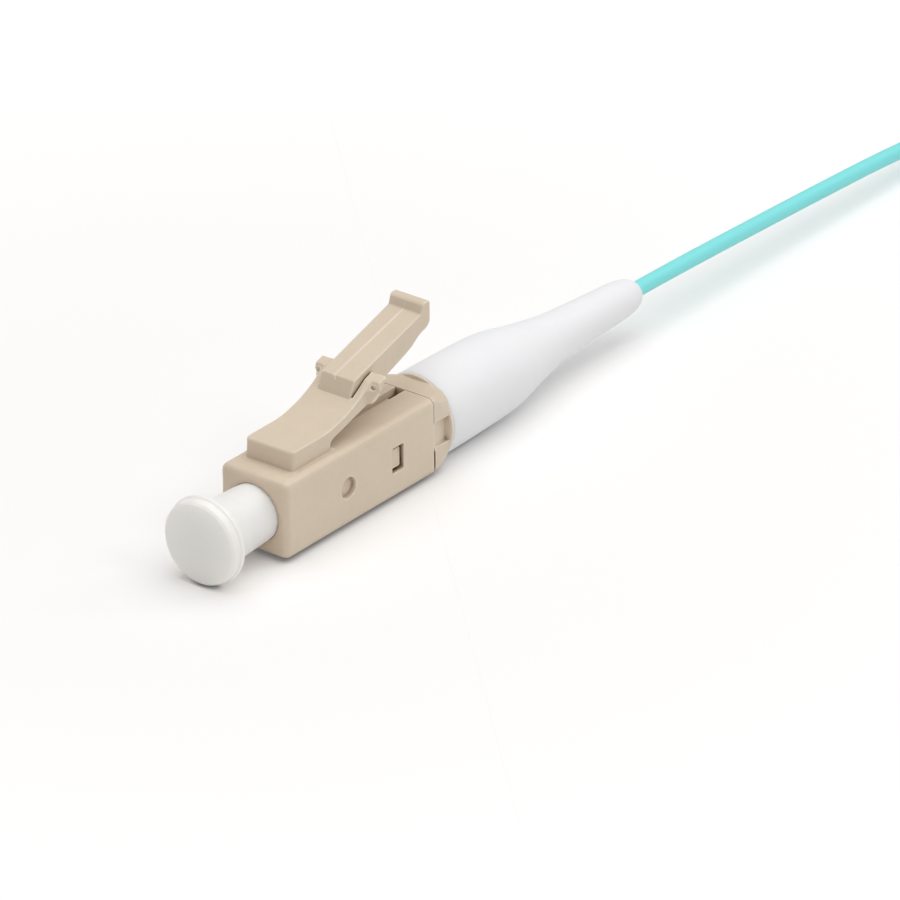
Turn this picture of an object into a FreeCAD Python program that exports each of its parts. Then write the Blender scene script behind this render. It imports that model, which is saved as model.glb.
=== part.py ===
"""Simplex LC pigtail connector with its dust cap and one metre of buffered fibre.

The plug lies along X with its nose towards -X and the fibre leaving towards +X.
Every profile is drawn from the front face of the plug housing (x = 0) and from
the ferrule's axis (z = 0). The bodies' placements then set the whole part down
on its lowest surfaces, with the origin under the middle of the connector.
"""
import FreeCAD, Part
import math
import os
import Sketcher

Vector = FreeCAD.Vector
doc = FreeCAD.newDocument("lc_connector")
dim = doc.addObject("Spreadsheet::Sheet", "dim")

# ---------------------------------------------------------------- driving sizes, millimetres and degrees
SIZES = [
    # plug housing
    ("nose_size", 4.5, "width and height of the square plug body"),
    ("housing_length", 12.5, "front face to the seam with the collar"),
    ("edge_round", 0.42, "moulded radius on the long edges"),
    ("front_round", 0.36, "moulded radius round the front face"),
    ("nose_bore", 1.66, "radius of the round bore in the nose"),
    ("nose_bore_depth", 2.9, "depth of that bore"),
    ("stop_wall", 0.6, "wall that the ferrule flange seats on"),
    ("stop_gap", 0.325, "clearance round the ferrule in the stop wall"),
    ("flange_gap", 0.11889, "clearance round the flange in the chamber behind the stop wall"),
    ("sleeve_seat", 3.4, "width of the square seat for the rear body's sleeve"),
    ("seat_round", 0.35, "corner radius of that seat"),
    ("window_place", 3.08, "seam to the middle of the snap window"),
    ("window_length", 0.98, "snap window, along the plug"),
    ("window_height", 1.47, "snap window, up the side"),
    ("mark_place", 5.2, "front face to the middle of the round side recess"),
    ("mark_radius", 0.62, "radius of the side recess"),
    ("mark_depth", 0.3, "depth of the side recess"),
    ("slot_start", 6.2, "front face to the front end of the top slot"),
    ("slot_width", 0.62, "width of the top slot"),
    ("slot_depth", 0.4, "depth of the top slot"),
    ("slot_eye", 0.75, "length of the opening at the slot's rear end"),
    # latch, with its heights measured from the top of the housing
    ("latch_width", 3.2, "width of the latch block and arm"),
    ("block_front", 1.3, "front face to the foot of the latch block"),
    ("block_lean", 0.1, "how far the block's front leans back"),
    ("block_rise", 1.13, "height of the block"),
    ("block_corner", 0.22, "radius of the block's two front corners"),
    ("block_round", 0.14, "radius round the block's top"),
    ("block_flat", 2.2, "length of the block's level top"),
    ("hinge_place", 4.95, "front face to the root of the arm"),
    ("hinge_rise", 0.98, "height of the arm's root"),
    ("root_radius", 0.3, "half the arm's thickness at its root"),
    ("root_gap", 0.04, "gap round the arm's root"),
    ("notch_radius", 0.32, "rounded notch under the root"),
    ("arm_sweep", 10.8, "radius of the arm's upper surface"),
    ("lug_reach", 3.4, "root to the middle of the lugs"),
    ("lug_rise", 1.6, "height of the lugs above the root"),
    ("lug_span", 4.3, "width across the two lugs"),
    ("lug_length", 0.76, "length of each lug"),
    ("web_length", 0.95, "length of the slanted web in front of each lug"),
    ("lever_width", 2.14, "width of the thumb lever"),
    ("lever_length", 8.67, "root to the tip of the thumb lever"),
    ("lever_climb", 3.53, "root to the foot of the lip, in height"),
    ("lip_height", 0.62, "height of the lip at the lever's tip"),
    ("lip_length", 0.56, "length of the lip's top"),
    # rear body
    ("collar_length", 1.45, "length of the square collar"),
    ("collar_step", 0.12, "how far the collar's rounded rear stands out beyond the boot"),
    ("collar_clear", 0.012, "how far the same cone clears the collar's corners at the seam"),
    ("groove_height", 1.46, "clip groove in each side of the collar"),
    ("groove_depth", 0.4, "depth of that groove at the rear"),
    ("groove_start", 0.06, "depth of that groove at the seam"),
    ("rim_inset", 0.17, "how far the rim between collar and boot lies inside the boot"),
    ("collar_ring_length", 0.12, "length of that rim"),
    ("pry_height", 1.24, "height of the pry slot at the seam"),
    ("pry_drop", 0.18, "bridge between the pry slot and the clip groove"),
    ("pry_depth", 0.12, "width of the pry slot"),
    ("sleeve_reach", 4.3, "length of the sleeve inside the housing"),
    ("fit_gap", 0.03, "clearance between pieces that are pushed together"),
    ("tab_recess", 0.16, "how far the snap tab lies below the side"),
    ("tab_drop", 0.19, "gap under the snap tab in its window"),
    ("tab_height", 1.12, "snap tab, up the side"),
    ("tab_play", 0.17, "gap behind the snap tab in its window"),
    ("seat_gap", 0.1, "clearance round the spring in its seat in the sleeve"),
    ("spring_seat_depth", 1.8, "depth of that seat"),
    ("tail_gap", 0.1, "clearance round the flange's tail tube in the rear body"),
    ("tail_length", 5.6, "length of the barbed tail"),
    ("tail_wall", 0.59, "wall of the tail between its barbs"),
    ("barb_height", 0.18, "height of each barb"),
    ("barb_pitch", 1.7, "distance from barb to barb"),
    # ferrule assembly
    ("ferrule_radius", 0.625, "radius of the ferrule"),
    ("ferrule_length", 6.5, "length of the ferrule"),
    ("ferrule_reach", 1.5, "how far the ferrule stands out of the nose"),
    ("ferrule_chamfer", 0.16, "chamfer at the ferrule's tip"),
    ("ferrule_lap", 2.4, "front face to the end of the ferrule's lapped outside"),
    ("ferrule_relief", 0.8, "length of the taper behind that"),
    ("ferrule_step", 0.015, "how much slimmer the ferrule is in its flange"),
    ("glass_radius", 0.0625, "radius of the bare fibre"),
    ("glass_gap", 0.004, "bonding gap round the bare fibre"),
    ("glass_tail", 1.9, "bare fibre behind the ferrule"),
    ("glass_room", 0.25, "clearance round the bare fibre in the flange"),
    ("flange_flats", 2.6, "hexagon of the flange, across its flats"),
    ("flange_length", 1.8, "length of the hexagon"),
    ("flange_lip", 0.27, "how far the flange's spring collar stands out beyond the coils"),
    ("flange_collar_length", 0.5, "length of that collar"),
    ("tail_tube_wall", 0.23, "wall of the flange's tail tube"),
    ("tail_tube_gap", 0.08, "clearance round the fibre in the tail tube"),
    ("tail_tube_reach", 0.6, "how far the tail tube reaches into the rear body's bore"),
    ("wire_radius", 0.12, "spring wire"),
    ("coil_gap", 0.15, "clearance between the tail tube and the coils"),
    ("coil_turns", 5, "number of coils"),
    ("guide_gap", 0.11, "clearance round the fibre in the guide tube"),
    ("guide_room", 0.9, "room for the ferrule to move back"),
    # dust cap
    ("cap_reach", 4.6, "front face to the cap's flat end"),
    ("cap_insert", 2.4, "length of the cap's barrel in the nose"),
    ("cap_wall", 0.41, "wall of the cap's barrel"),
    ("cap_end_wall", 0.9, "wall at the cap's closed end"),
    ("cap_fit", 0.05, "clearance of the barrel in the nose bore"),
    ("cap_taper", 0.23, "how much wider the barrel is beside the flange"),
    ("cap_neck_place", 2.7, "front face to that place"),
    ("cap_rim", 2.5, "radius of the cap's rear rim"),
    ("cap_rim_place", 3.45, "front face to the back of the rim"),
    ("cap_rim_length", 0.42, "thickness of the rim"),
    ("cap_disc", 2.42, "radius of the disc in front of the rim"),
    ("cap_face", 2.12, "radius of the cap's flat end"),
    # boot
    ("boot_radius", 2.5, "radius of the boot where it meets the collar"),
    ("boot_barrel", 5.6, "length of the boot's barrel"),
    ("boot_draft", 0.12, "how much slimmer the barrel is at its end"),
    ("boot_waist", 1.9, "radius half way down the shoulder"),
    ("boot_waist_place", 8.6, "front of the boot to that place"),
    ("boot_neck", 1.31, "radius where the thin tail starts"),
    ("boot_neck_place", 12.7, "front of the boot to that place"),
    ("boot_tip", 1.1, "radius of the thin tail near its end"),
    ("boot_tip_place", 17.4, "front of the boot to that place"),
    ("boot_length", 19.05, "whole length of the boot"),
    ("boot_mouth", 0.16, "width of the flat round the fibre's hole"),
    ("boot_gap", 0.05, "clearance round the fibre in the boot"),
    # fibre
    ("fibre_radius", 0.45, "radius of the buffered fibre"),
    ("fibre_length", 1000.0, "length of the fibre, nose to cut end"),
    ("hank_length", 18.0, "length of the put-away hank"),
    ("hank_columns", 4, "turns side by side in the hank"),
    ("hank_layers", 6, "turns on top of each other"),
    ("hank_eye", 2.7, "radius of the innermost fold"),
    ("hank_start", 67.0, "front face to the near end of the hank"),
    ("tie_width", 3.0, "width of the tie"),
    ("tie_wall", 0.3, "thickness of the tie"),
]
for row, (alias, value, note) in enumerate(SIZES, start=1):
    dim.set("A%d" % row, note)
    dim.set("B%d" % row, str(value))
    dim.setAlias("B%d" % row, alias)
doc.recompute()

# ---------------------------------------------------------------- expressions that several pieces share
TOP = "dim.nose_size / 2"
HINGE_HEIGHT = "(dim.nose_size / 2 + dim.hinge_rise)"
STOP_FACE = "(dim.nose_bore_depth + dim.stop_wall)"
SLEEVE_FRONT = "(dim.housing_length - dim.sleeve_reach)"
SPRING_BACK = "(dim.housing_length - dim.sleeve_reach + dim.spring_seat_depth)"
SPRING_FRONT = "(dim.nose_bore_depth + dim.stop_wall + dim.flange_length + dim.flange_collar_length)"
TAIL_TUBE_END = "(%s + dim.tail_tube_reach)" % SPRING_BACK
COLLAR_BACK = "(dim.housing_length + dim.collar_length)"
TAIL_END = "(dim.housing_length + dim.collar_length + dim.tail_length)"
BOOT_END = "(dim.housing_length + dim.collar_length + dim.boot_length)"
REST_HEIGHT = "max(dim.boot_radius; dim.cap_rim; dim.nose_size / 2)"
FRONT_FACE_PLACE = "(dim.cap_reach - %s) / 2" % BOOT_END
WINDOW = "(dim.housing_length - dim.window_place)"
# radii, from the fibre outwards
TAIL_TUBE_BORE = "(dim.fibre_radius + dim.tail_tube_gap)"
TAIL_TUBE = "(%s + dim.tail_tube_wall)" % TAIL_TUBE_BORE
TAIL_BORE = "(%s + dim.tail_gap)" % TAIL_TUBE
TAIL_RADIUS = "(%s + dim.tail_wall)" % TAIL_BORE
COIL_RADIUS = "(%s + dim.coil_gap + dim.wire_radius)" % TAIL_TUBE
SPRING_SEAT = "(%s + dim.wire_radius + dim.seat_gap)" % COIL_RADIUS
FLANGE_COLLAR = "(%s + dim.wire_radius + dim.flange_lip)" % COIL_RADIUS
FLANGE_CORNER = "(dim.flange_flats / sqrt(3))"
SPRING_ROOM = "(max(%s; %s) + dim.flange_gap)" % (FLANGE_CORNER, FLANGE_COLLAR)
FERRULE_SEAT = "(dim.ferrule_radius - dim.ferrule_step)"
STOP_HOLE = "(dim.ferrule_radius + dim.stop_gap)"
CAP_BARREL = "(dim.nose_bore - dim.cap_fit)"
CAP_BORE = "(%s - dim.cap_wall)" % CAP_BARREL
BOOT_HOLE = "(dim.fibre_radius + dim.boot_gap)"
COLLAR_END = "(dim.boot_radius + dim.collar_step)"
COLLAR_START = "(dim.nose_size / sqrt(2) - dim.edge_round * (sqrt(2) - 1) + dim.collar_clear)"
HANK_WIDTH = "(2 * dim.hank_eye + (2 * dim.hank_columns - 1) * 2 * dim.fibre_radius)"


def value(expression):
    """Number that a sheet expression stands for now."""
    return float(dim.evalExpression(expression))


def times(expression, factor):
    """The same expression, multiplied by a plain factor."""
    return "(%s) * %g" % (expression, factor)


# ---------------------------------------------------------------- small helpers for bodies and sketches
def new_body(name):
    """Body whose placement sets it down with the others."""
    body = doc.addObject("PartDesign::Body", name)
    body.Label = name
    body.setExpression("Placement.Base.x", FRONT_FACE_PLACE)
    body.setExpression("Placement.Base.z", REST_HEIGHT)
    return body


def origin_plane(body, role):
    """One of the body's own origin planes or axes."""
    return next(item for item in body.Origin.OriginFeatures if item.Role == role)


def new_sketch(body, name, role, offset=None):
    """Sketch on an origin plane, moved along the plane's normal by an expression."""
    sketch = body.newObject("Sketcher::SketchObject", name)
    sketch.AttachmentSupport = [(origin_plane(body, role), "")]
    sketch.MapMode = "FlatFace"
    if offset is not None:
        sketch.setExpression("AttachmentOffset.Base.z", offset)
    return sketch


def pin_point(sketch, edge, end, corner):
    """Hold one end of an edge at a corner given as two expressions."""
    for kind, expression in zip(("DistanceX", "DistanceY"), corner):
        number = sketch.addConstraint(Sketcher.Constraint(kind, edge, end, value(expression)))
        sketch.setExpression("Constraints[%d]" % number, expression)


def arc_edge(start, end, radius):
    """Arc between two corners; a positive radius bulges to the right of the way it runs."""
    chord = end - start
    rise = math.sqrt(max(radius ** 2 - (chord.Length / 2) ** 2, 0.0))
    right = Vector(chord.y, -chord.x, 0).normalize() * math.copysign(1, radius)
    centre = start + chord * 0.5 - right * rise
    first, last = (start, end) if radius > 0 else (end, start)
    turns = [math.atan2(point.y - centre.y, point.x - centre.x) for point in (first, last)]
    if turns[1] < turns[0]:
        turns[1] += 2 * math.pi
    return Part.ArcOfCircle(Part.Circle(centre, Vector(0, 0, 1), abs(radius)), turns[0], turns[1])


def outline(sketch, corners, arcs=None):
    """Closed outline through corners; arcs gives the radius of the edge after a corner."""
    arcs = arcs or {}
    points = [Vector(value(across), value(up), 0) for across, up in corners]
    count = len(points)
    first = sketch.GeometryCount
    for index in range(count):
        start, end = points[index], points[(index + 1) % count]
        if index in arcs:
            sketch.addGeometry(arc_edge(start, end, value(arcs[index])))
        else:
            sketch.addGeometry(Part.LineSegment(start, end))
    for index in range(count):
        forward = index not in arcs or value(arcs[index]) > 0
        pin_point(sketch, first + index, 1 if forward else 2, corners[index])
        pin_point(sketch, first + index, 2 if forward else 1, corners[(index + 1) % count])
        if index in arcs:
            size = abs(value(arcs[index]))
            number = sketch.addConstraint(Sketcher.Constraint("Radius", first + index, size))
            sketch.setExpression("Constraints[%d]" % number, "abs(%s)" % arcs[index])
    return sketch


def rectangle(sketch, low, high):
    """Rectangle between two corners given as expressions."""
    return outline(sketch, [low, (high[0], low[1]), high, (low[0], high[1])])


def circle(sketch, centre, radius):
    """Circle about a centre given as expressions."""
    number = sketch.addGeometry(Part.Circle(Vector(value(centre[0]), value(centre[1]), 0),
                                            Vector(0, 0, 1), value(radius)))
    pin_point(sketch, number, 3, centre)
    constraint = sketch.addConstraint(Sketcher.Constraint("Radius", number, value(radius)))
    sketch.setExpression("Constraints[%d]" % constraint, radius)
    return sketch


def extrude(body, kind, sketch, length, both_ways=False, against=False):
    """Pad or Pocket of a sketch."""
    feature = body.newObject("PartDesign::" + kind, sketch.Name + "_" + kind.lower())
    feature.Profile = sketch
    feature.SideType = "Symmetric" if both_ways else "One side"
    feature.Reversed = against
    feature.setExpression("Length", length)
    doc.recompute()
    return feature


def turn(body, kind, sketch):
    """Revolution or Groove of a sketch about the ferrule's axis."""
    feature = body.newObject("PartDesign::" + kind, sketch.Name + "_" + kind.lower())
    feature.Profile = sketch
    feature.ReferenceAxis = (sketch, ["H_Axis"])
    feature.Angle = 360
    doc.recompute()
    return feature


def round_edges(body, base, wanted, radius, kind="Fillet"):
    """Fillet or Chamfer on the edges of the last feature that a test picks."""
    names = ["Edge%d" % (index + 1) for index, edge in enumerate(base.Shape.Edges)
             if not edge.Degenerated and wanted(edge)]
    feature = body.newObject("PartDesign::" + kind, base.Name + "_" + kind.lower())
    feature.Base = (base, names)
    feature.setExpression("Radius" if kind == "Fillet" else "Size", radius)
    doc.recompute()
    return feature


def along(edge, axis):
    """True for a straight edge that runs along an axis."""
    if not isinstance(edge.Curve, Part.Line):
        return False
    return abs(abs(edge.Curve.Direction.dot(axis)) - 1) < 1e-6


def middle(edge):
    """Middle point of an edge."""
    return edge.valueAt((edge.FirstParameter + edge.LastParameter) / 2)


AXIS_X, AXIS_Y, AXIS_Z = Vector(1, 0, 0), Vector(0, 1, 0), Vector(0, 0, 1)


# ---------------------------------------------------------------- plug housing
def make_plug_housing():
    """Square moulded body with the latch block, bores, windows, slot and side recess."""
    body = new_body("plug_housing")
    half = times("dim.nose_size", 0.5)
    low = "-dim.nose_size / 2"
    shell = rectangle(new_sketch(body, "shell", "YZ_Plane"), (low, low), (half, half))
    pad = extrude(body, "Pad", shell, "dim.housing_length")
    pad = round_edges(body, pad, lambda edge: along(edge, AXIS_X), "dim.edge_round")
    round_edges(body, pad, lambda edge: middle(edge).x < 1e-6, "dim.front_round")

    # latch block, with the concave seat for the arm's root and the notch below it
    seat = "(dim.root_radius + dim.root_gap)"
    notch_place = "(dim.hinge_place - dim.notch_radius * 0.3)"
    block = new_sketch(body, "latch_block", "XZ_Plane")
    outline(block, [
        ("dim.block_front", TOP + " - dim.edge_round"),
        ("dim.block_front", TOP),
        ("dim.block_front + dim.block_lean", TOP + " + dim.block_rise"),
        ("dim.block_front + dim.block_lean + dim.block_flat", TOP + " + dim.block_rise"),
        ("dim.hinge_place - %s * sin(28)" % seat, HINGE_HEIGHT + " + %s * cos(28)" % seat),
        ("dim.hinge_place - %s * cos(45)" % seat, HINGE_HEIGHT + " - %s * sin(45)" % seat),
        (notch_place + " - dim.notch_radius", TOP + " + dim.notch_radius"),
        (notch_place, TOP),
        (notch_place, TOP + " - dim.edge_round"),
    ], arcs={4: seat, 6: "dim.notch_radius"})
    pad = extrude(body, "Pad", block, "dim.latch_width", both_ways=True)
    crest = value(TOP + " + dim.block_rise")
    side = value("dim.latch_width") / 2
    nook = value("dim.block_front + dim.block_lean / 2")
    pad = round_edges(body, pad, lambda edge: abs(abs(middle(edge).y) - side) < 1e-6
                      and abs(middle(edge).x - nook) < 1e-3, "dim.block_corner")
    front = value("dim.block_front + dim.block_lean")
    pad = round_edges(body, pad, lambda edge: along(edge, AXIS_Y)
                      and abs(middle(edge).z - crest) < 1e-6 and abs(middle(edge).x - front) < 1e-6,
                      "dim.block_round")

    # inside: nose bore, stop wall, spring room and the square seat of the rear body's sleeve
    bore = new_sketch(body, "bores", "XZ_Plane")
    seat_front = SLEEVE_FRONT + " - 0.1"
    outline(bore, [
        ("-1", "0"), ("-1", "dim.nose_bore"), ("dim.nose_bore_depth", "dim.nose_bore"),
        ("dim.nose_bore_depth", STOP_HOLE), (STOP_FACE, STOP_HOLE),
        (STOP_FACE, SPRING_ROOM), (seat_front + " + 0.2", SPRING_ROOM),
        (seat_front + " + 0.2", "0"),
    ])
    turn(body, "Groove", bore)
    seat_half = times("dim.sleeve_seat", 0.5)
    seat_low = "-dim.sleeve_seat / 2"
    cavity = rectangle(new_sketch(body, "sleeve_seat", "YZ_Plane", "dim.housing_length"),
                       (seat_low, seat_low), (seat_half, seat_half))
    pocket = extrude(body, "Pocket", cavity, "dim.housing_length - (%s)" % seat_front)
    inner = value(seat_half)
    round_edges(body, pocket, lambda edge: along(edge, AXIS_X) and edge.Length > 1
                and abs(abs(middle(edge).y) - inner) < 1e-6
                and abs(abs(middle(edge).z) - inner) < 1e-6, "dim.seat_round")

    # snap windows through both sides
    window = new_sketch(body, "snap_windows", "XZ_Plane")
    rectangle(window, (WINDOW + " - dim.window_length / 2", "-dim.window_height / 2"),
              (WINDOW + " + dim.window_length / 2", "dim.window_height / 2"))
    extrude(body, "Pocket", window, "dim.nose_size + 1", both_ways=True)

    # slot along the top under the latch, open to the inside at its rear end
    slot = new_sketch(body, "top_slot", "XY_Plane", TOP)
    outline(slot, [
        ("dim.slot_start", "-dim.slot_width / 2"), ("dim.housing_length + 1", "-dim.slot_width / 2"),
        ("dim.housing_length + 1", "dim.slot_width / 2"), ("dim.slot_start", "dim.slot_width / 2"),
    ], arcs={3: "dim.slot_width * 0.51"})
    extrude(body, "Pocket", slot, "dim.slot_depth")
    eye = new_sketch(body, "slot_eye", "XY_Plane", TOP)
    rectangle(eye, ("dim.housing_length - dim.slot_eye", "-dim.slot_width / 2"),
              ("dim.housing_length + 1", "dim.slot_width / 2"))
    extrude(body, "Pocket", eye, "(dim.nose_size - dim.sleeve_seat) / 2 + 0.05")

    # shallow round recess on the right-hand side
    mark = circle(new_sketch(body, "side_recess", "XZ_Plane", half), ("dim.mark_place", "0"),
                  "dim.mark_radius")
    extrude(body, "Pocket", mark, "dim.mark_depth")
    return body


# ---------------------------------------------------------------- latch arm
def make_latch():
    """Sprung arm with its rounded root, two lugs and the thumb lever with a lip."""
    body = new_body("latch")

    def at(back, rise):
        """Corner measured from the arm's root."""
        return ("dim.hinge_place + " + back, HINGE_HEIGHT + " + " + rise)

    lug_back = "dim.lug_reach + dim.lug_length / 2"
    lug_front = "dim.lug_reach - dim.lug_length / 2"
    arm = new_sketch(body, "arm", "XZ_Plane")
    outline(arm, [
        at("0", "dim.root_radius"),
        at("dim.lug_reach * 0.544", "dim.lug_rise * 0.569"),
        at(lug_front + " + 0.05", "dim.lug_rise + 0.12"),
        at(lug_back + " - 0.05", "dim.lug_rise + 0.33"),
        at(lug_back + " + 0.05", "dim.lug_rise + 0.1"),
        at(lug_back + " - 0.35", "dim.lug_rise - 0.33"),
        at(lug_back + " - 0.83", "dim.root_radius + 0.25"),
        at("dim.root_radius * sin(16)", "-dim.root_radius * cos(16)"),
    ], arcs={0: "dim.arm_sweep", 7: "-dim.root_radius"})
    extrude(body, "Pad", arm, "dim.latch_width", both_ways=True)

    # webs on both sides, cut slanting so that they run out to the lugs
    web_front = lug_front + " - dim.web_length"
    web = new_sketch(body, "lug_webs", "XZ_Plane")
    outline(web, [
        at(web_front, "dim.lug_rise - 0.82"),
        at(lug_front + " - 0.12", "dim.lug_rise - 0.56"),
        at(lug_front + " + 0.25", "dim.lug_rise - 0.37"),
        at(lug_front + " + 0.25", "dim.lug_rise - 0.02"),
        at(lug_front + " - 0.02", "dim.lug_rise - 0.15"),
        at(web_front, "dim.lug_rise - 0.6"),
    ])
    extrude(body, "Pad", web, "dim.lug_span", both_ways=True)
    for side, name in ((1, "left"), (-1, "right")):
        slant = new_sketch(body, "web_slant_" + name, "XY_Plane", HINGE_HEIGHT)
        outline(slant, [
            ("dim.hinge_place + %s - 0.1" % web_front, times("dim.latch_width / 2", side)),
            ("dim.hinge_place + " + web_front, times("dim.latch_width / 2", side)),
            ("dim.hinge_place + %s - 0.02" % lug_front, times("dim.lug_span / 2", side)),
            ("dim.hinge_place + %s - 0.02" % lug_front, times("dim.lug_span / 2 + 0.5", side)),
            ("dim.hinge_place + %s - 0.1" % web_front, times("dim.lug_span / 2 + 0.5", side)),
        ])
        extrude(body, "Pocket", slant, "2 * dim.lug_rise", both_ways=True)
    lug = new_sketch(body, "lugs", "XZ_Plane")
    outline(lug, [
        at(lug_front + " + 0.13", "dim.lug_rise - 0.38"),
        at(lug_front, "dim.lug_rise - 0.23"),
        at(lug_front + " + 0.05", "dim.lug_rise + 0.11"),
        at(lug_back + " - 0.11", "dim.lug_rise + 0.31"),
        at(lug_back + " - 0.03", "dim.lug_rise + 0.23"),
        at(lug_back + " - 0.51", "dim.lug_rise - 0.36"),
    ])
    extrude(body, "Pad", lug, "dim.lug_span", both_ways=True)

    # thumb lever and its lip
    lip_foot = "dim.lever_length - dim.lip_length - 0.06"
    lever = new_sketch(body, "thumb_lever", "XZ_Plane")
    outline(lever, [
        at("1.80", "0.80"),
        at("2.37", "1.80"),
        at(lip_foot, "dim.lever_climb"),
        at("dim.lever_length - dim.lip_length + 0.08", "dim.lever_climb + dim.lip_height - 0.12"),
        at("dim.lever_length - dim.lip_length + 0.2", "dim.lever_climb + dim.lip_height - 0.02"),
        at("dim.lever_length - 0.05", "dim.lever_climb + dim.lip_height"),
        at("dim.lever_length + 0.13", "dim.lever_climb + dim.lip_height - 0.3"),
        at("dim.lever_length + 0.1", "dim.lever_climb - 0.66"),
        at("dim.lever_length - 0.18", "dim.lever_climb - 0.92"),
        at("dim.lever_length - 0.9", "dim.lever_climb - 1.21"),
        at("dim.lever_length - 1.4", "dim.lever_climb - 1.55"),
        at("dim.lever_length - 2.02", "dim.lever_climb - 1.83"),
        at("dim.lever_length - 3.3", "dim.lever_climb - 2.33"),
        at(lug_back + " - 0.83", "dim.root_radius + 0.25"),
        at("2.2", "0.6"),
    ], arcs={4: "-1.2"})
    pad = extrude(body, "Pad", lever, "dim.lever_width", both_ways=True)
    tip = value("dim.hinge_place + dim.lever_length - dim.lip_length")
    high = value(HINGE_HEIGHT + " + dim.lever_climb")
    round_edges(body, pad, lambda edge: middle(edge).x > tip and middle(edge).z > high
                and abs(abs(middle(edge).y) - value("dim.lever_width") / 2) < 1e-6, "0.06")
    return body


# ---------------------------------------------------------------- rear body
def make_rear_body():
    """Collar, inner sleeve with snap tabs, and the barbed tail that the boot grips."""
    body = new_body("rear_body")
    half, low = times("dim.nose_size", 0.5), "-dim.nose_size / 2"
    collar = rectangle(new_sketch(body, "collar", "YZ_Plane", "dim.housing_length"),
                       (low, low), (half, half))
    pad = extrude(body, "Pad", collar, "dim.collar_length")
    round_edges(body, pad, lambda edge: along(edge, AXIS_X), "dim.edge_round")

    # everything outside a cone is turned off, which rounds the collar towards the boot
    cone = new_sketch(body, "collar_cone", "XZ_Plane")
    outline(cone, [
        ("dim.housing_length", COLLAR_START), (COLLAR_BACK, COLLAR_END),
        (COLLAR_BACK + " + 0.5", COLLAR_END), (COLLAR_BACK + " + 0.5", "dim.nose_size"),
        ("dim.housing_length", "dim.nose_size"),
    ], arcs={0: "-4 * dim.collar_length"})
    turn(body, "Groove", cone)

    # clip grooves in both sides, deeper towards the boot, and the pry slots below them
    groove_low, groove_high = "-dim.groove_height / 2 + 0.07", "dim.groove_height / 2 + 0.07"
    for side, name in ((1, "left"), (-1, "right")):
        groove = new_sketch(body, "clip_groove_" + name, "XY_Plane", groove_low)
        outline(groove, [
            ("dim.housing_length", times(TOP + " - dim.groove_start", side)),
            (COLLAR_BACK + " + 0.5", times(TOP + " - dim.groove_depth", side)),
            (COLLAR_BACK + " + 0.5", times("dim.nose_size", side)),
            ("dim.housing_length", times("dim.nose_size", side)),
        ])
        extrude(body, "Pocket", groove, "(%s) - (%s)" % (groove_high, groove_low), against=True)
    pry = new_sketch(body, "pry_slots", "XZ_Plane")
    rectangle(pry, ("dim.housing_length", groove_low + " - dim.pry_drop - dim.pry_height"),
              ("dim.housing_length + dim.pry_depth", groove_low + " - dim.pry_drop"))
    extrude(body, "Pocket", pry, "dim.nose_size + 1", both_ways=True)
    ring = circle(new_sketch(body, "collar_rim", "YZ_Plane", COLLAR_BACK), ("0", "0"),
                  "dim.boot_radius - dim.rim_inset")
    extrude(body, "Pad", ring, "dim.collar_ring_length", against=True)

    # the sleeve that goes into the housing, and its snap tabs
    sleeve_half = "(dim.sleeve_seat / 2 - dim.fit_gap)"
    sleeve = rectangle(new_sketch(body, "sleeve", "YZ_Plane", SLEEVE_FRONT),
                       ("-" + sleeve_half, "-" + sleeve_half), (sleeve_half, sleeve_half))
    pad = extrude(body, "Pad", sleeve, "dim.sleeve_reach + dim.pry_depth + 0.05")
    reach = value(sleeve_half)
    seam = value("dim.housing_length")
    round_edges(body, pad, lambda edge: along(edge, AXIS_X) and middle(edge).x < seam
                and abs(abs(middle(edge).y) - reach) < 1e-6
                and abs(abs(middle(edge).z) - reach) < 1e-6, "dim.seat_round")
    tab = new_sketch(body, "snap_tabs", "XZ_Plane")
    rectangle(tab, (WINDOW + " - dim.window_length / 2 + dim.fit_gap",
                    "-dim.window_height / 2 + dim.tab_drop"),
              (WINDOW + " + dim.window_length / 2 - dim.tab_play",
               "-dim.window_height / 2 + dim.tab_drop + dim.tab_height"))
    extrude(body, "Pad", tab, "dim.nose_size - 2 * dim.tab_recess", both_ways=True)

    # barbed tail, turned in one outline with its barbs
    barbs = [(TAIL_END, "0"), (TAIL_END, TAIL_RADIUS)]
    for count in range(3):
        back = "%s - %d * dim.barb_pitch" % (TAIL_END, count)
        barbs.append((back + " - 0.15", TAIL_RADIUS))
        barbs.append((back + " - 0.15 - dim.barb_pitch * 0.5", TAIL_RADIUS + " + dim.barb_height"))
        barbs.append((back + " - 0.15 - dim.barb_pitch * 0.55", TAIL_RADIUS))
    barbs += [(COLLAR_BACK + " - 0.1", TAIL_RADIUS), (COLLAR_BACK + " - 0.1", "0")]
    tail = outline(new_sketch(body, "barbed_tail", "XZ_Plane"), barbs)
    turn(body, "Revolution", tail)

    # spring seat and the bore for the guide tube
    bore = new_sketch(body, "rear_bores", "XZ_Plane")
    outline(bore, [
        (SLEEVE_FRONT + " - 1", "0"), (SLEEVE_FRONT + " - 1", SPRING_SEAT),
        (SPRING_BACK, SPRING_SEAT), (SPRING_BACK, TAIL_BORE),
        (TAIL_END + " + 1", TAIL_BORE), (TAIL_END + " + 1", "0"),
    ])
    turn(body, "Groove", bore)
    return body


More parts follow.
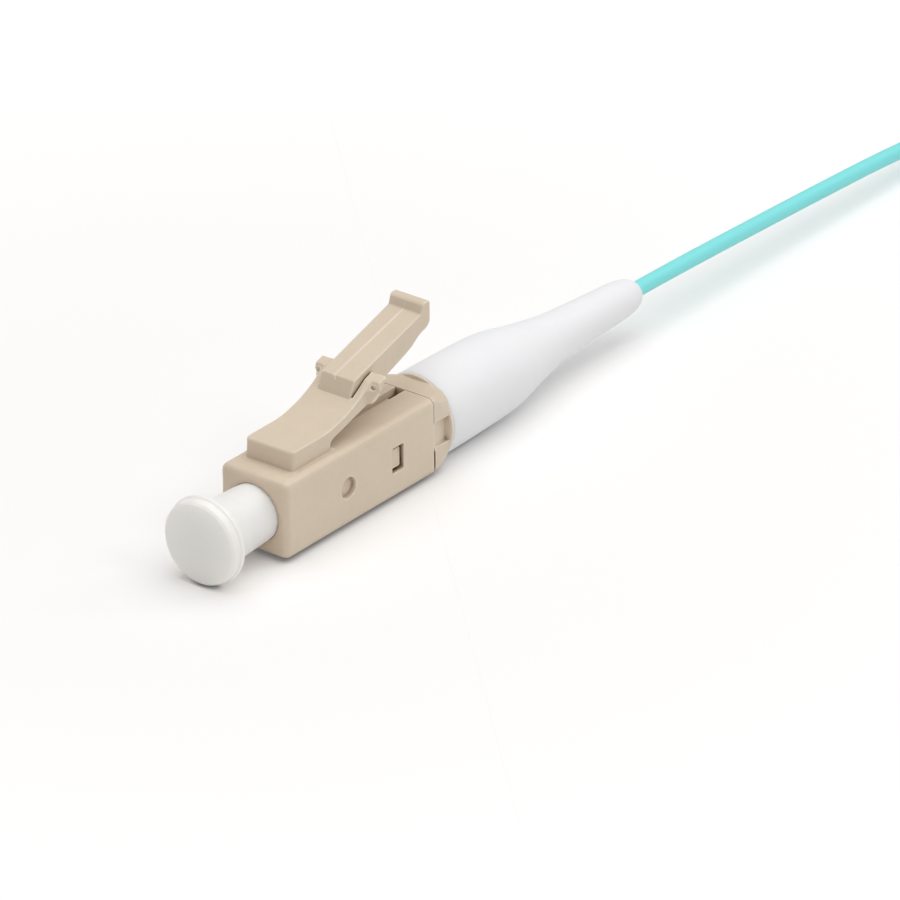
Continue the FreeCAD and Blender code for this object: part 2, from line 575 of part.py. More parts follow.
# ---------------------------------------------------------------- ferrule assembly
def make_ferrule():
    """Ceramic ferrule with its fibre hole and chamfered tip."""
    body = new_body("ferrule")
    hole = "(dim.glass_radius + dim.glass_gap)"
    back = "dim.ferrule_length - dim.ferrule_reach"
    blank = new_sketch(body, "ferrule_blank", "XZ_Plane")
    outline(blank, [
        ("-dim.ferrule_reach", hole),
        ("-dim.ferrule_reach", "dim.ferrule_radius - dim.ferrule_chamfer"),
        ("-dim.ferrule_reach + dim.ferrule_chamfer * 1.6", "dim.ferrule_radius"),
        ("dim.ferrule_lap", "dim.ferrule_radius"),
        ("dim.ferrule_lap + dim.ferrule_relief", FERRULE_SEAT),
        (back, FERRULE_SEAT), (back, "dim.ferrule_radius * 0.6"),
        (back + " - 0.5", hole),
    ])
    turn(body, "Revolution", blank)
    return body


def make_glass_fibre():
    """Bare fibre bonded in the ferrule."""
    body = new_body("glass_fibre")
    strand = circle(new_sketch(body, "strand", "YZ_Plane", "-dim.ferrule_reach"), ("0", "0"),
                    "dim.glass_radius")
    extrude(body, "Pad", strand, "dim.ferrule_length + dim.glass_tail")
    return body


def make_ferrule_flange():
    """Metal flange: hexagon that seats on the stop wall, spring collar and tail tube."""
    body = new_body("ferrule_flange")
    hexagon = new_sketch(body, "hexagon", "YZ_Plane", STOP_FACE)
    outline(hexagon, [(FLANGE_CORNER + " * cos(%d)" % turn_by, FLANGE_CORNER + " * sin(%d)" % turn_by)
                      for turn_by in range(0, 360, 60)])
    extrude(body, "Pad", hexagon, "dim.flange_length")
    turned = new_sketch(body, "collar_and_tail", "XZ_Plane")
    outline(turned, [
        (STOP_FACE + " + dim.flange_length - 0.1", "0"),
        (STOP_FACE + " + dim.flange_length - 0.1", FLANGE_COLLAR),
        (SPRING_FRONT, FLANGE_COLLAR), (SPRING_FRONT, TAIL_TUBE),
        (TAIL_TUBE_END, TAIL_TUBE), (TAIL_TUBE_END, "0"),
    ])
    turn(body, "Revolution", turned)
    ferrule_back = "(dim.ferrule_length - dim.ferrule_reach)"
    bore = new_sketch(body, "flange_bore", "XZ_Plane")
    outline(bore, [
        (STOP_FACE + " - 1", "0"), (STOP_FACE + " - 1", FERRULE_SEAT + " + 0.002"),
        (ferrule_back + " + 0.02", FERRULE_SEAT + " + 0.002"),
        (ferrule_back + " + 0.02", "dim.glass_radius + dim.glass_room"),
        (ferrule_back + " + 0.3", TAIL_TUBE_BORE),
        (TAIL_TUBE_END + " + 1", TAIL_TUBE_BORE), (TAIL_TUBE_END + " + 1", "0"),
    ])
    turn(body, "Groove", bore)
    return body


def make_ferrule_spring():
    """Compression coil spring between the flange and the rear body."""
    body = new_body("ferrule_spring")
    wire = new_sketch(body, "wire", "XZ_Plane")
    circle(wire, (SPRING_FRONT + " + dim.wire_radius + 0.01", COIL_RADIUS), "dim.wire_radius")
    coil = body.newObject("PartDesign::AdditiveHelix", "coil")
    coil.Profile = wire
    coil.ReferenceAxis = (wire, ["H_Axis"])
    coil.Mode = "height-turns-angle"
    coil.setExpression("Height", "%s - %s - 2 * dim.wire_radius - 0.02" % (SPRING_BACK, SPRING_FRONT))
    coil.setExpression("Turns", "dim.coil_turns")
    doc.recompute()
    return body


def make_guide_tube():
    """Thin plastic tube that guides the fibre through the rear body."""
    body = new_body("guide_tube")
    ring = new_sketch(body, "guide_ring", "YZ_Plane", TAIL_TUBE_END + " + dim.guide_room")
    circle(ring, ("0", "0"), TAIL_BORE + " - dim.fit_gap")
    circle(ring, ("0", "0"), "dim.fibre_radius + dim.guide_gap")
    extrude(body, "Pad", ring, "%s - (%s + dim.guide_room) + 0.3" % (TAIL_END, TAIL_TUBE_END))
    return body


# ---------------------------------------------------------------- dust cap and boot
def make_dust_cap():
    """Moulded cap: tapered barrel in the nose, rim, disc with a rounded front edge, blind bore."""
    body = new_body("dust_cap")
    shape = new_sketch(body, "cap_outline", "XZ_Plane")
    outline(shape, [
        ("dim.cap_insert", CAP_BORE),
        ("dim.cap_insert", CAP_BARREL + " - 0.1"),
        ("dim.cap_insert - 0.25", CAP_BARREL),
        ("-0.02", CAP_BARREL),
        ("-dim.cap_neck_place", CAP_BARREL + " + dim.cap_taper"),
        ("-dim.cap_rim_place", "dim.cap_rim - 0.06"),
        ("-dim.cap_rim_place - 0.06", "dim.cap_rim"),
        ("-dim.cap_rim_place - dim.cap_rim_length", "dim.cap_rim"),
        ("-dim.cap_rim_place - dim.cap_rim_length - 0.02", "dim.cap_disc"),
        ("-dim.cap_rim_place - dim.cap_rim_length - 0.35", "dim.cap_disc - 0.03"),
        ("-dim.cap_reach", "dim.cap_face"),
        ("-dim.cap_reach", "0"),
        ("-dim.cap_reach + dim.cap_end_wall", "0"),
        ("-dim.cap_reach + dim.cap_end_wall", CAP_BORE),
    ], arcs={4: "-0.85", 9: "0.5"})
    turn(body, "Revolution", shape)
    return body


def make_boot():
    """Soft boot: barrel over the barbed tail, shoulder, thin tail with a rounded end."""
    body = new_body("boot")
    grip = "(%s + dim.barb_height + dim.fit_gap)" % TAIL_RADIUS
    cavity_end = TAIL_END + " + 0.35"

    def back(place):
        """Distance from the boot's front, as an x place."""
        return COLLAR_BACK + " + " + place

    shape = new_sketch(body, "boot_outline", "XZ_Plane")
    outline(shape, [
        (COLLAR_BACK, grip),
        (COLLAR_BACK, "dim.boot_radius - 0.1"),
        (back("0.1"), "dim.boot_radius"),
        (back("dim.boot_barrel"), "dim.boot_radius - dim.boot_draft"),
        (back("dim.boot_waist_place"), "dim.boot_waist"),
        (back("dim.boot_neck_place"), "dim.boot_neck"),
        (back("dim.boot_tip_place"), "dim.boot_tip"),
        (back("dim.boot_length"), BOOT_HOLE + " + dim.boot_mouth"),
        (back("dim.boot_length"), BOOT_HOLE),
        (cavity_end + " + 0.6", BOOT_HOLE),
        (cavity_end, TAIL_BORE + " + 0.2"),
        (cavity_end, grip),
    ], arcs={3: "-11.5", 4: "15.5", 6: "-2.6"})
    turn(body, "Revolution", shape)
    return body


# ---------------------------------------------------------------- fibre, its hank and the tie
def route_points():
    """Centre line of the loose fibre, from the ferrule's tail tube to the hank, by hand."""
    low = value("dim.tie_wall + dim.fibre_radius") - value(REST_HEIGHT)
    hank = value("dim.hank_start")
    boot_end = value(BOOT_END)
    return [
        Vector(value(TAIL_TUBE_END) - 2.6, 0.0, 0.0),
        Vector(boot_end - 12.5, 0.0, 0.03),
        Vector(boot_end + 2.5, 0.0, 0.0),
        Vector(boot_end + 14.5, 0.08, -0.6),
        Vector(boot_end + 24.5, -0.08, -0.93),
        Vector(hank - 3.5, 0.0, low),
        Vector(hank + 2.0, 0.0, low),
    ]


def fibre_path(points, share=0.45):
    """Straight runs joined by tangent arcs, each as large as its two runs allow."""
    edges, radii, here = [], [], points[0]
    for before, corner, after in zip(points, points[1:], points[2:]):
        come, go = corner - before, after - corner
        trim = share * min(come.Length, go.Length)
        half_turn = come.getAngle(go) / 2
        radii.append(trim / math.tan(half_turn))
        start = corner - Vector(come).normalize() * trim
        end = corner + Vector(go).normalize() * trim
        inward = (Vector(go).normalize() - Vector(come).normalize()).normalize()
        sag = radii[-1] * (1 / math.cos(half_turn) - 1)
        edges.append(Part.LineSegment(here, start).toShape())
        edges.append(Part.Arc(start, corner + inward * sag, end).toShape())
        here = end
    edges.append(Part.LineSegment(here, points[-1]).toShape())
    return Part.Wire(edges), radii


def make_fibre_cord():
    """Tube along the stretch of buffered fibre that isn't wound up."""
    points = route_points()
    path, radii = fibre_path(points)
    radius = value("dim.fibre_radius")
    ring = Part.Wire([Part.makeCircle(radius, points[0], points[1] - points[0])])
    tube = path.makePipeShell([ring], True, False)
    wanted = math.pi * radius ** 2 * path.Length
    if abs(tube.Volume - wanted) > 0.01 * wanted:
        raise ValueError("the fibre's tube has volume %.2f, not %.2f" % (tube.Volume, wanted))
    print("fibre runs:", " ".join("%.1f" % (b - a).Length for a, b in zip(points, points[1:])))
    print("fibre bend radii:", " ".join("%.0f" % radius for radius in radii))
    print("fibre in the tube: %.1f mm, left for the hank: %.1f mm" % (
        path.Length, value("dim.fibre_length") - path.Length))
    cord = doc.addObject("Part::Feature", "fibre_cord")
    cord.Label = "fibre_cord"
    cord.Shape = tube
    cord.setExpression("Placement.Base.x", FRONT_FACE_PLACE)
    cord.setExpression("Placement.Base.z", REST_HEIGHT)
    return cord


def stadium(sketch, width, length):
    """Outline with two straight sides along X and round ends, about the hank's middle."""
    middle_x = "dim.hank_start + dim.hank_length / 2"
    middle_y = "-dim.hank_eye - (dim.hank_columns - 0.5) * 2 * dim.fibre_radius + dim.fibre_radius"
    near = "%s - (%s - %s) / 2" % (middle_x, length, width)
    far = "%s + (%s - %s) / 2" % (middle_x, length, width)
    right, left = "%s - %s / 2" % (middle_y, width), "%s + %s / 2" % (middle_y, width)
    radius = "%s * 0.5001" % width
    outline(sketch, [(near, right), (far, right), (far, left), (near, left)],
            arcs={1: radius, 3: radius})
    return sketch


def make_cord_hank():
    """Closed solid that the wound turns of the hank fill."""
    body = new_body("cord_hank")
    floor = "dim.tie_wall - %s" % REST_HEIGHT
    wound = "2 * dim.hank_columns * 2 * dim.fibre_radius"
    ring = stadium(new_sketch(body, "hank_ring", "XY_Plane", floor), HANK_WIDTH, "dim.hank_length")
    stadium(ring, "(%s - %s)" % (HANK_WIDTH, wound), "(dim.hank_length - %s)" % wound)
    extrude(body, "Pad", ring, "dim.hank_layers * 2 * dim.fibre_radius")
    lead = new_sketch(body, "lead_in", "YZ_Plane", "dim.hank_start + 2")
    circle(lead, ("0", floor + " + dim.fibre_radius"), "dim.fibre_radius")
    extrude(body, "Pad", lead, "%s / 2 - 2" % HANK_WIDTH)
    return body


def make_hank_tie():
    """Band round the middle of the hank."""
    body = new_body("hank_tie")
    middle_y = "-dim.hank_eye - (dim.hank_columns - 0.5) * 2 * dim.fibre_radius + dim.fibre_radius"
    height = "dim.hank_layers * 2 * dim.fibre_radius"
    start = "dim.hank_start + dim.hank_length / 2 - dim.tie_width / 2"
    band = new_sketch(body, "band", "YZ_Plane", start)
    for wall, name in (("dim.tie_wall", "outer"), ("0", "inner")):
        side = "(%s / 2 + %s)" % (HANK_WIDTH, wall)
        rectangle(band, ("%s - %s" % (middle_y, side), "dim.tie_wall - %s - %s" % (REST_HEIGHT, wall)),
                  ("%s + %s" % (middle_y, side),
                   "dim.tie_wall - %s + %s + %s" % (REST_HEIGHT, height, wall)))
    extrude(body, "Pad", band, "dim.tie_width")
    return body


# ---------------------------------------------------------------- build, check and write
PIECES = [
    make_plug_housing(), make_latch(), make_rear_body(), make_ferrule(), make_glass_fibre(),
    make_ferrule_flange(), make_ferrule_spring(), make_guide_tube(), make_dust_cap(), make_boot(),
    make_fibre_cord(), make_cord_hank(), make_hank_tie(),
]
doc.recompute()
for item in doc.Objects:
    if "Invalid" in item.State or "Error" in item.State:
        raise RuntimeError("%s did not build: %s" % (item.Name, item.State))
for piece in PIECES:
    if piece.Shape.isNull() or not piece.Shape.isValid() or len(piece.Shape.Solids) != 1:
        raise RuntimeError("%s has no valid single solid" % piece.Label)

os.makedirs("parts", exist_ok=True)
for piece in PIECES:
    piece.Shape.exportStep("parts/%s.step" % piece.Label)
    box = piece.Shape.BoundBox
    print("%-15s volume %8.2f  x %7.2f %7.2f  y %6.2f %6.2f  z %6.2f %6.2f" % (
        piece.Label, piece.Shape.Volume, box.XMin, box.XMax, box.YMin, box.YMax, box.ZMin, box.ZMax))
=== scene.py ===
"""Looks of a simplex LC pigtail connector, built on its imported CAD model.

Working shapes are drawn in millimetres from the front face of the plug (x = 0)
and from the ferrule's axis (z = 0), and are put in place when they are finished.
"""
import math

import bmesh
import bpy
from bpy.props import FloatProperty, FloatVectorProperty, IntProperty, PointerProperty
from mathutils import Matrix, Vector


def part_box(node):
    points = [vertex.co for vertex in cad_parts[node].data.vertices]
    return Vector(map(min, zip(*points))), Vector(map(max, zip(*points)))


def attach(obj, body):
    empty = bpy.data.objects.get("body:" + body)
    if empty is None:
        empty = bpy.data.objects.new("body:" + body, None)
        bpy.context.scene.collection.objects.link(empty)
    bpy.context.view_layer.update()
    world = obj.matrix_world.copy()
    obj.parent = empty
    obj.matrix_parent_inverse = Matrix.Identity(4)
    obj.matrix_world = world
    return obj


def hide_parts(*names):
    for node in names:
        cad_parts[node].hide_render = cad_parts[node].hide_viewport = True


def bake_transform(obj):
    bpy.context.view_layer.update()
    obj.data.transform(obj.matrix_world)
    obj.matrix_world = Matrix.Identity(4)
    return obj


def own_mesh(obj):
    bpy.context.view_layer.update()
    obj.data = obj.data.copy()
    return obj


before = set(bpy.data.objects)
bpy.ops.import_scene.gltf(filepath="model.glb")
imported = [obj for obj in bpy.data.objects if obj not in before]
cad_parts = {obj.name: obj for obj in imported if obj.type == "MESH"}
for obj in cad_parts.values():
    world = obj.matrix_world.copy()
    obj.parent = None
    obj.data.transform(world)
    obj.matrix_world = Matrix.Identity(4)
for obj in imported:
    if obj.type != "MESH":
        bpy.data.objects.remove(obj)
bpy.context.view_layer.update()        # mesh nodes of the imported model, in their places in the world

bl_info = {
    "name": "LC Pigtail Connector",
    "version": (1, 0, 0),
    "blender": (4, 5, 0),
    "location": "3D View > Sidebar > Connector",
    "description": "Builds the visible pieces of a simplex LC pigtail connector",
    "category": "Object",
}

MM = 0.001
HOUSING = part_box("plug_housing")
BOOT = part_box("boot")
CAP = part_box("dust_cap")
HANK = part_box("cord_hank")
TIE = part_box("hank_tie")
FRONT = HOUSING[0].x
AXIS = (BOOT[0].z + BOOT[1].z) / 2
SEAM = (HOUSING[1].x - FRONT) / MM          # front face to the seam, in millimetres
HALF = HOUSING[1].y / MM                    # half the plug's width
WELD = 1e-5                                 # points nearer than this, in millimetres, are one
BOOT_START = (BOOT[0].x - FRONT) / MM
BOOT_END = (BOOT[1].x - FRONT) / MM
MIDDLE = FRONT + 14 * MM                    # middle of the plug with its boot
PLACE = Matrix.Translation((FRONT, 0.0, AXIS)) @ Matrix.Scale(MM, 4)


def linear(colour):
    """Linear red, green, blue and alpha of an sRGB hex colour."""
    parts = [int(colour[start:start + 2], 16) / 255 for start in (1, 3, 5)]
    return tuple(part / 12.92 if part <= 0.04045 else ((part + 0.055) / 1.055) ** 2.4
                 for part in parts) + (1.0,)


def length_setting(name, description, default, low=0.0):
    """Setting that holds a length, given in millimetres."""
    return FloatProperty(name=name, description=description, default=default * MM, min=low,
                         precision=5, unit="LENGTH")


def colour_setting(name, description, colour):
    """Setting that holds a colour, given as sRGB hex."""
    return FloatVectorProperty(name=name, description=description, subtype="COLOR", size=4,
                               min=0.0, max=1.0, default=linear(colour))


# ---------------------------------------------------------------- settings a user would change
class HousingSettings(bpy.types.PropertyGroup):
    """Sizes of the plug housing and of the collar behind it."""
    long_round: length_setting("Long edge round", "Moulded radius on the long edges", 0.42)
    front_round: length_setting("Front round", "Moulded radius round the front face", 0.38)
    rim_round: length_setting("Rim round", "Small radius round windows, slots and bores", 0.04)
    nose_bore: length_setting(
        "Nose bore", "Radius of the bore that the dust cap plugs into", 1.66)
    slot_width: length_setting("Top slot", "Width of the slot under the latch", 0.62)


class LatchSettings(bpy.types.PropertyGroup):
    """Sizes of the latch that is moulded in one piece with the housing."""
    arm_width: length_setting("Arm width", "Width of the latch block and its arm", 3.2)
    lever_width: length_setting("Lever width", "Width of the thumb lever", 2.16)
    lug_span: length_setting("Lug span", "Width across the two lugs", 4.3)


class TurnedSettings(bpy.types.PropertyGroup):
    """Sizes of the round pieces: dust cap, boot and ferrule."""
    segments: IntProperty(
        name="Segments", description="Faces round a turned piece", default=144, min=12)
    boot_droop: length_setting(
        "Boot droop", "How far the boot's soft tail sinks at its end", 0.12)
    coil_turns: FloatProperty(
        name="Spring coils", description="Coils of the ferrule spring", default=5.0, min=1.0)


class FibreSettings(bpy.types.PropertyGroup):
    """Sizes of the buffered fibre and its hank."""
    diameter: length_setting("Fibre diameter", "Outside diameter of the buffer", 0.9)
    length: length_setting("Fibre length", "Length from the ferrule to the cut end", 1000.0)
    layers: IntProperty(
        name="Hank layers", description="Turns on top of each other in the hank",
        default=6, min=1)
    columns: IntProperty(
        name="Hank columns", description="Turns side by side in the hank",
        default=4, min=1)


class FinishSettings(bpy.types.PropertyGroup):
    """Colours of the materials."""
    housing: colour_setting("Housing", "Beige engineering resin", "#E0D0BB")
    housing_dark: colour_setting("Housing mottling", "Darker tone in the resin", "#D9C9B3")
    cap: colour_setting("Dust cap", "Natural white polyethylene", "#FFF7F0")
    boot: colour_setting("Boot", "White elastomer", "#F0F0F2")
    fibre: colour_setting("Fibre buffer", "Aqua buffer", "#86E6E6")
    floor: colour_setting("Floor", "Pale studio floor", "#EFEEED")


class StageSettings(bpy.types.PropertyGroup):
    """Camera and lamps."""
    azimuth: FloatProperty(
        name="Azimuth", description="Camera's turn round the object",
        default=math.radians(-51.764), subtype="ANGLE")
    elevation: FloatProperty(
        name="Elevation", description="Camera's height above the horizon",
        default=math.radians(26.99), subtype="ANGLE")
    roll: FloatProperty(
        name="Roll", description="Camera's turn about its own axis",
        default=math.radians(-0.646), subtype="ANGLE")
    distance: length_setting("Distance", "Camera to the object", 600.0)
    across: length_setting("Across", "Camera's move to its right", 10.3005, low=-1.0)
    upward: length_setting("Upward", "Camera's move up its own height", 3.2678, low=-1.0)
    lens: FloatProperty(
        name="Lens", description="Focal length in millimetres", default=457.82)
    key_power: FloatProperty(
        name="Key lamp", description="Power of the large soft lamp, in watts", default=1.30)
    rim_power: FloatProperty(
        name="Rim lamps", description="Power of each small lamp on the right, in watts",
        default=0.075)
    room: FloatProperty(
        name="Room light", description="Strength of the even light all round", default=0.345)


class ConnectorSettings(bpy.types.PropertyGroup):
    """All settings of the connector."""
    housing: PointerProperty(type=HousingSettings)
    latch: PointerProperty(type=LatchSettings)
    turned: PointerProperty(type=TurnedSettings)
    fibre: PointerProperty(type=FibreSettings)
    finish: PointerProperty(type=FinishSettings)
    stage: PointerProperty(type=StageSettings)


# ---------------------------------------------------------------- outlines, in millimetres
def soften(corners, steps=6):
    """Closed outline whose corners (a, b, radius) are rounded off."""
    outline = []
    count = len(corners)
    for index, (across, up, radius) in enumerate(corners):
        here = Vector((across, up))
        before = Vector(corners[index - 1][:2])
        after = Vector(corners[(index + 1) % count][:2])
        if radius <= 0:
            outline.append(here)
            continue
        come, go = (here - before), (after - here)
        turn = come.angle_signed(go, 0.0)
        if abs(turn) < 1e-4:
            outline.append(here)
            continue
        trim = min(radius * math.tan(abs(turn) / 2), 0.48 * come.length, 0.48 * go.length)
        reach = trim / math.tan(abs(turn) / 2)
        come.normalize()
        go.normalize()
        side = Vector((-come.y, come.x)) * (-1 if turn > 0 else 1)
        start = here - come * trim
        centre = start + side * reach
        arm = start - centre
        for step in range(steps + 1):
            outline.append(centre + turned(arm, -turn * step / steps))
    return outline


def turned(vector, angle):
    """A flat vector turned by an angle."""
    cosine, sine = math.cos(angle), math.sin(angle)
    return Vector((vector.x * cosine - vector.y * sine, vector.x * sine + vector.y * cosine))


def flowing(points, steps=8):
    """Smooth run of points through the given points."""
    points = [Vector(point) for point in points]
    run = [points[0]]
    padded = [points[0] * 2 - points[1]] + points + [points[-1] * 2 - points[-2]]
    for before, start, end, after in zip(padded, padded[1:], padded[2:], padded[3:]):
        for step in range(1, steps + 1):
            share = step / steps
            run.append(0.5 * (2 * start + (end - before) * share
                              + (2 * before - 5 * start + 4 * end - after) * share ** 2
                              + (3 * start - before - 3 * end + after) * share ** 3))
    return run


def rounded_box(low_a, low_b, high_a, high_b, radius, steps=6):
    """Outline of a box with four equal round corners."""
    return soften([(low_a, low_b, radius), (high_a, low_b, radius), (high_a, high_b, radius),
                   (low_a, high_b, radius)], steps)


def square_ring(place, half, radius, cone=None):
    """Rounded square across the plug at a place along it, kept inside a cone if given."""
    ring = []
    steps = 8
    middle = half - radius
    for quarter in range(4):
        for step in range(steps + 1):
            angle = math.pi / 2 * (quarter + step / steps)
            centre_angle = math.pi / 4 + math.pi / 2 * quarter
            across = math.copysign(middle, math.cos(centre_angle)) + radius * math.cos(angle)
            up = math.copysign(middle, math.sin(centre_angle)) + radius * math.sin(angle)
            ring.append(Vector((place, across, up)))
    if cone is not None:
        whole = []
        for start, end in zip(ring, ring[1:] + ring[:1]):
            parts = 4 if (end - start).length > 0.5 else 1
            whole += [start.lerp(end, share / parts) for share in range(parts)]
        ring = whole
        for point in ring:
            reach = math.hypot(point.y, point.z)
            if reach > cone:
                point.y *= cone / reach
                point.z *= cone / reach
    return ring


# ---------------------------------------------------------------- working shapes, in millimetres
def added(name, data):
    """New object in the scene that holds the data."""
    made = bpy.data.objects.new(name, data)
    bpy.context.scene.collection.objects.link(made)
    return made


def working(name, shape):
    """Object that holds a working shape."""
    bmesh.ops.remove_doubles(shape, verts=shape.verts, dist=WELD)
    bmesh.ops.recalc_face_normals(shape, faces=shape.faces)
    mesh = bpy.data.meshes.new(name)
    shape.to_mesh(mesh)
    shape.free()
    return added(name, mesh)


def loft(rings, name):
    """Closed solid through rings of points."""
    shape = bmesh.new()
    rows = [[shape.verts.new(point) for point in ring] for ring in rings]
    for row, following in zip(rows, rows[1:]):
        for index in range(len(row)):
            after = (index + 1) % len(row)
            shape.faces.new((row[index], row[after], following[after], following[index]))
    shape.faces.new(rows[0])
    shape.faces.new(rows[-1])
    return working(name, shape)


def prism(outline, low, high, name, sweep="Y"):
    """Closed solid with a flat outline swept along an axis from low to high."""
    spots = {"X": lambda a, b, t: (t, a, b), "Y": lambda a, b, t: (a, t, b),
             "Z": lambda a, b, t: (a, b, t)}
    spot = spots[sweep]
    return loft([[Vector(spot(point[0], point[1], level)) for point in outline]
                 for level in (low, high)], name)


def round_bar(place, radius, low, high, name, sweep="X", segments=96):
    """Closed round bar along an axis."""
    outline = [(place[0] + radius * math.cos(2 * math.pi * step / segments),
                place[1] + radius * math.sin(2 * math.pi * step / segments))
               for step in range(segments)]
    return prism(outline, low, high, name, sweep)


def combine(base, tools, operation):
    """Cut tools out of a working shape, or join them to it."""
    for tool in tools:
        change = base.modifiers.new(operation.lower(), "BOOLEAN")
        change.operation = operation
        change.solver = "EXACT"
        change.object = tool
    base = hardened(base)
    for tool in tools:
        bpy.data.objects.remove(tool)
    return base


def hardened(base):
    """The same working shape with its modifiers applied."""
    graph = bpy.context.evaluated_depsgraph_get()
    mesh = bpy.data.meshes.new_from_object(base.evaluated_get(graph), depsgraph=graph)
    base.modifiers.clear()
    base.data = mesh
    return base


def ball(centre, radius, name):
    """Closed ball."""
    shape = bmesh.new()
    bmesh.ops.create_uvsphere(shape, u_segments=32, v_segments=16, radius=radius,
                              matrix=Matrix.Translation(centre))
    return working(name, shape)


def merged(shapes):
    """One working shape that holds the faces of several."""
    whole = bmesh.new()
    for shape in shapes:
        whole.from_mesh(shape.data)
    name = shapes[0].name
    for shape in shapes:
        bpy.data.objects.remove(shape)
    return working(name, whole)


def mould(base, grain, passes):
    """Round every edge a little, as a mould does: even small faces, then smoothed."""
    even = base.modifiers.new("even", "REMESH")
    even.mode = "VOXEL"
    even.voxel_size = grain
    smooth = base.modifiers.new("smooth", "SMOOTH")
    smooth.factor = 0.5
    smooth.iterations = passes
    return hardened(base)


def round_off(base, width):
    """Bevel the sharp edges."""
    change = base.modifiers.new("round", "BEVEL")
    change.width = width
    change.segments = 2
    change.limit_method = "ANGLE"
    change.angle_limit = math.radians(38.0)
    change.harden_normals = True
    change.use_clamp_overlap = False
    return hardened(base)


def settle(base, name, finish, sharp=40.0, flat=False):
    """Finished piece: a plain smooth mesh in its place, with its material."""
    base = hardened(base)
    mesh = base.data
    mesh.transform(PLACE)
    mesh.shade_smooth()
    mesh.set_sharp_from_angle(angle=math.radians(sharp))
    if flat:
        even = base.modifiers.new("even", "WEIGHTED_NORMAL")
        even.keep_sharp = True
        even.weight = 100
        base = hardened(base)
        mesh = base.data
    mesh.materials.clear()
    mesh.materials.append(finish)
    piece = added(name, mesh)
    bpy.data.objects.remove(base)
    return piece


# ---------------------------------------------------------------- node trees
def feed(tree, made, inputs):
    """Fill a node's sockets; inputs maps a socket to a value or to an output."""
    for socket, source in inputs.items():
        if isinstance(source, bpy.types.NodeSocket):
            tree.links.new(source, made.inputs[socket])
        else:
            made.inputs[socket].default_value = source


def node(tree, kind, inputs=None, **settings):
    """Add a node with its settings and what feeds it."""
    made = tree.nodes.new(kind)
    for name, setting in settings.items():
        setattr(made, name, setting)
    feed(tree, made, inputs or {})
    return made


def new_geometry_tree(name, sizes):
    """Geometry Nodes tree with a geometry in and out, a material and named sizes."""
    tree = bpy.data.node_groups.new(name, "GeometryNodeTree")
    tree.interface.new_socket("Geometry", in_out="INPUT", socket_type="NodeSocketGeometry")
    for label, kind, start in sizes:
        socket = tree.interface.new_socket(label, in_out="INPUT", socket_type=kind)
        socket.default_value = start
    tree.interface.new_socket("Material", in_out="INPUT", socket_type="NodeSocketMaterial")
    tree.interface.new_socket("Geometry", in_out="OUTPUT", socket_type="NodeSocketGeometry")
    return tree, node(tree, "NodeGroupInput"), node(tree, "NodeGroupOutput")


def grow(base, tree, values):
    """Put a tree on a working object, set its named inputs and keep the result as a mesh."""
    change = base.modifiers.new(tree.name, "NODES")
    change.node_group = tree
    for item in tree.interface.items_tree:
        if item.in_out == "INPUT" and item.name in values:
            change[item.identifier] = values[item.name]
    return hardened(base)


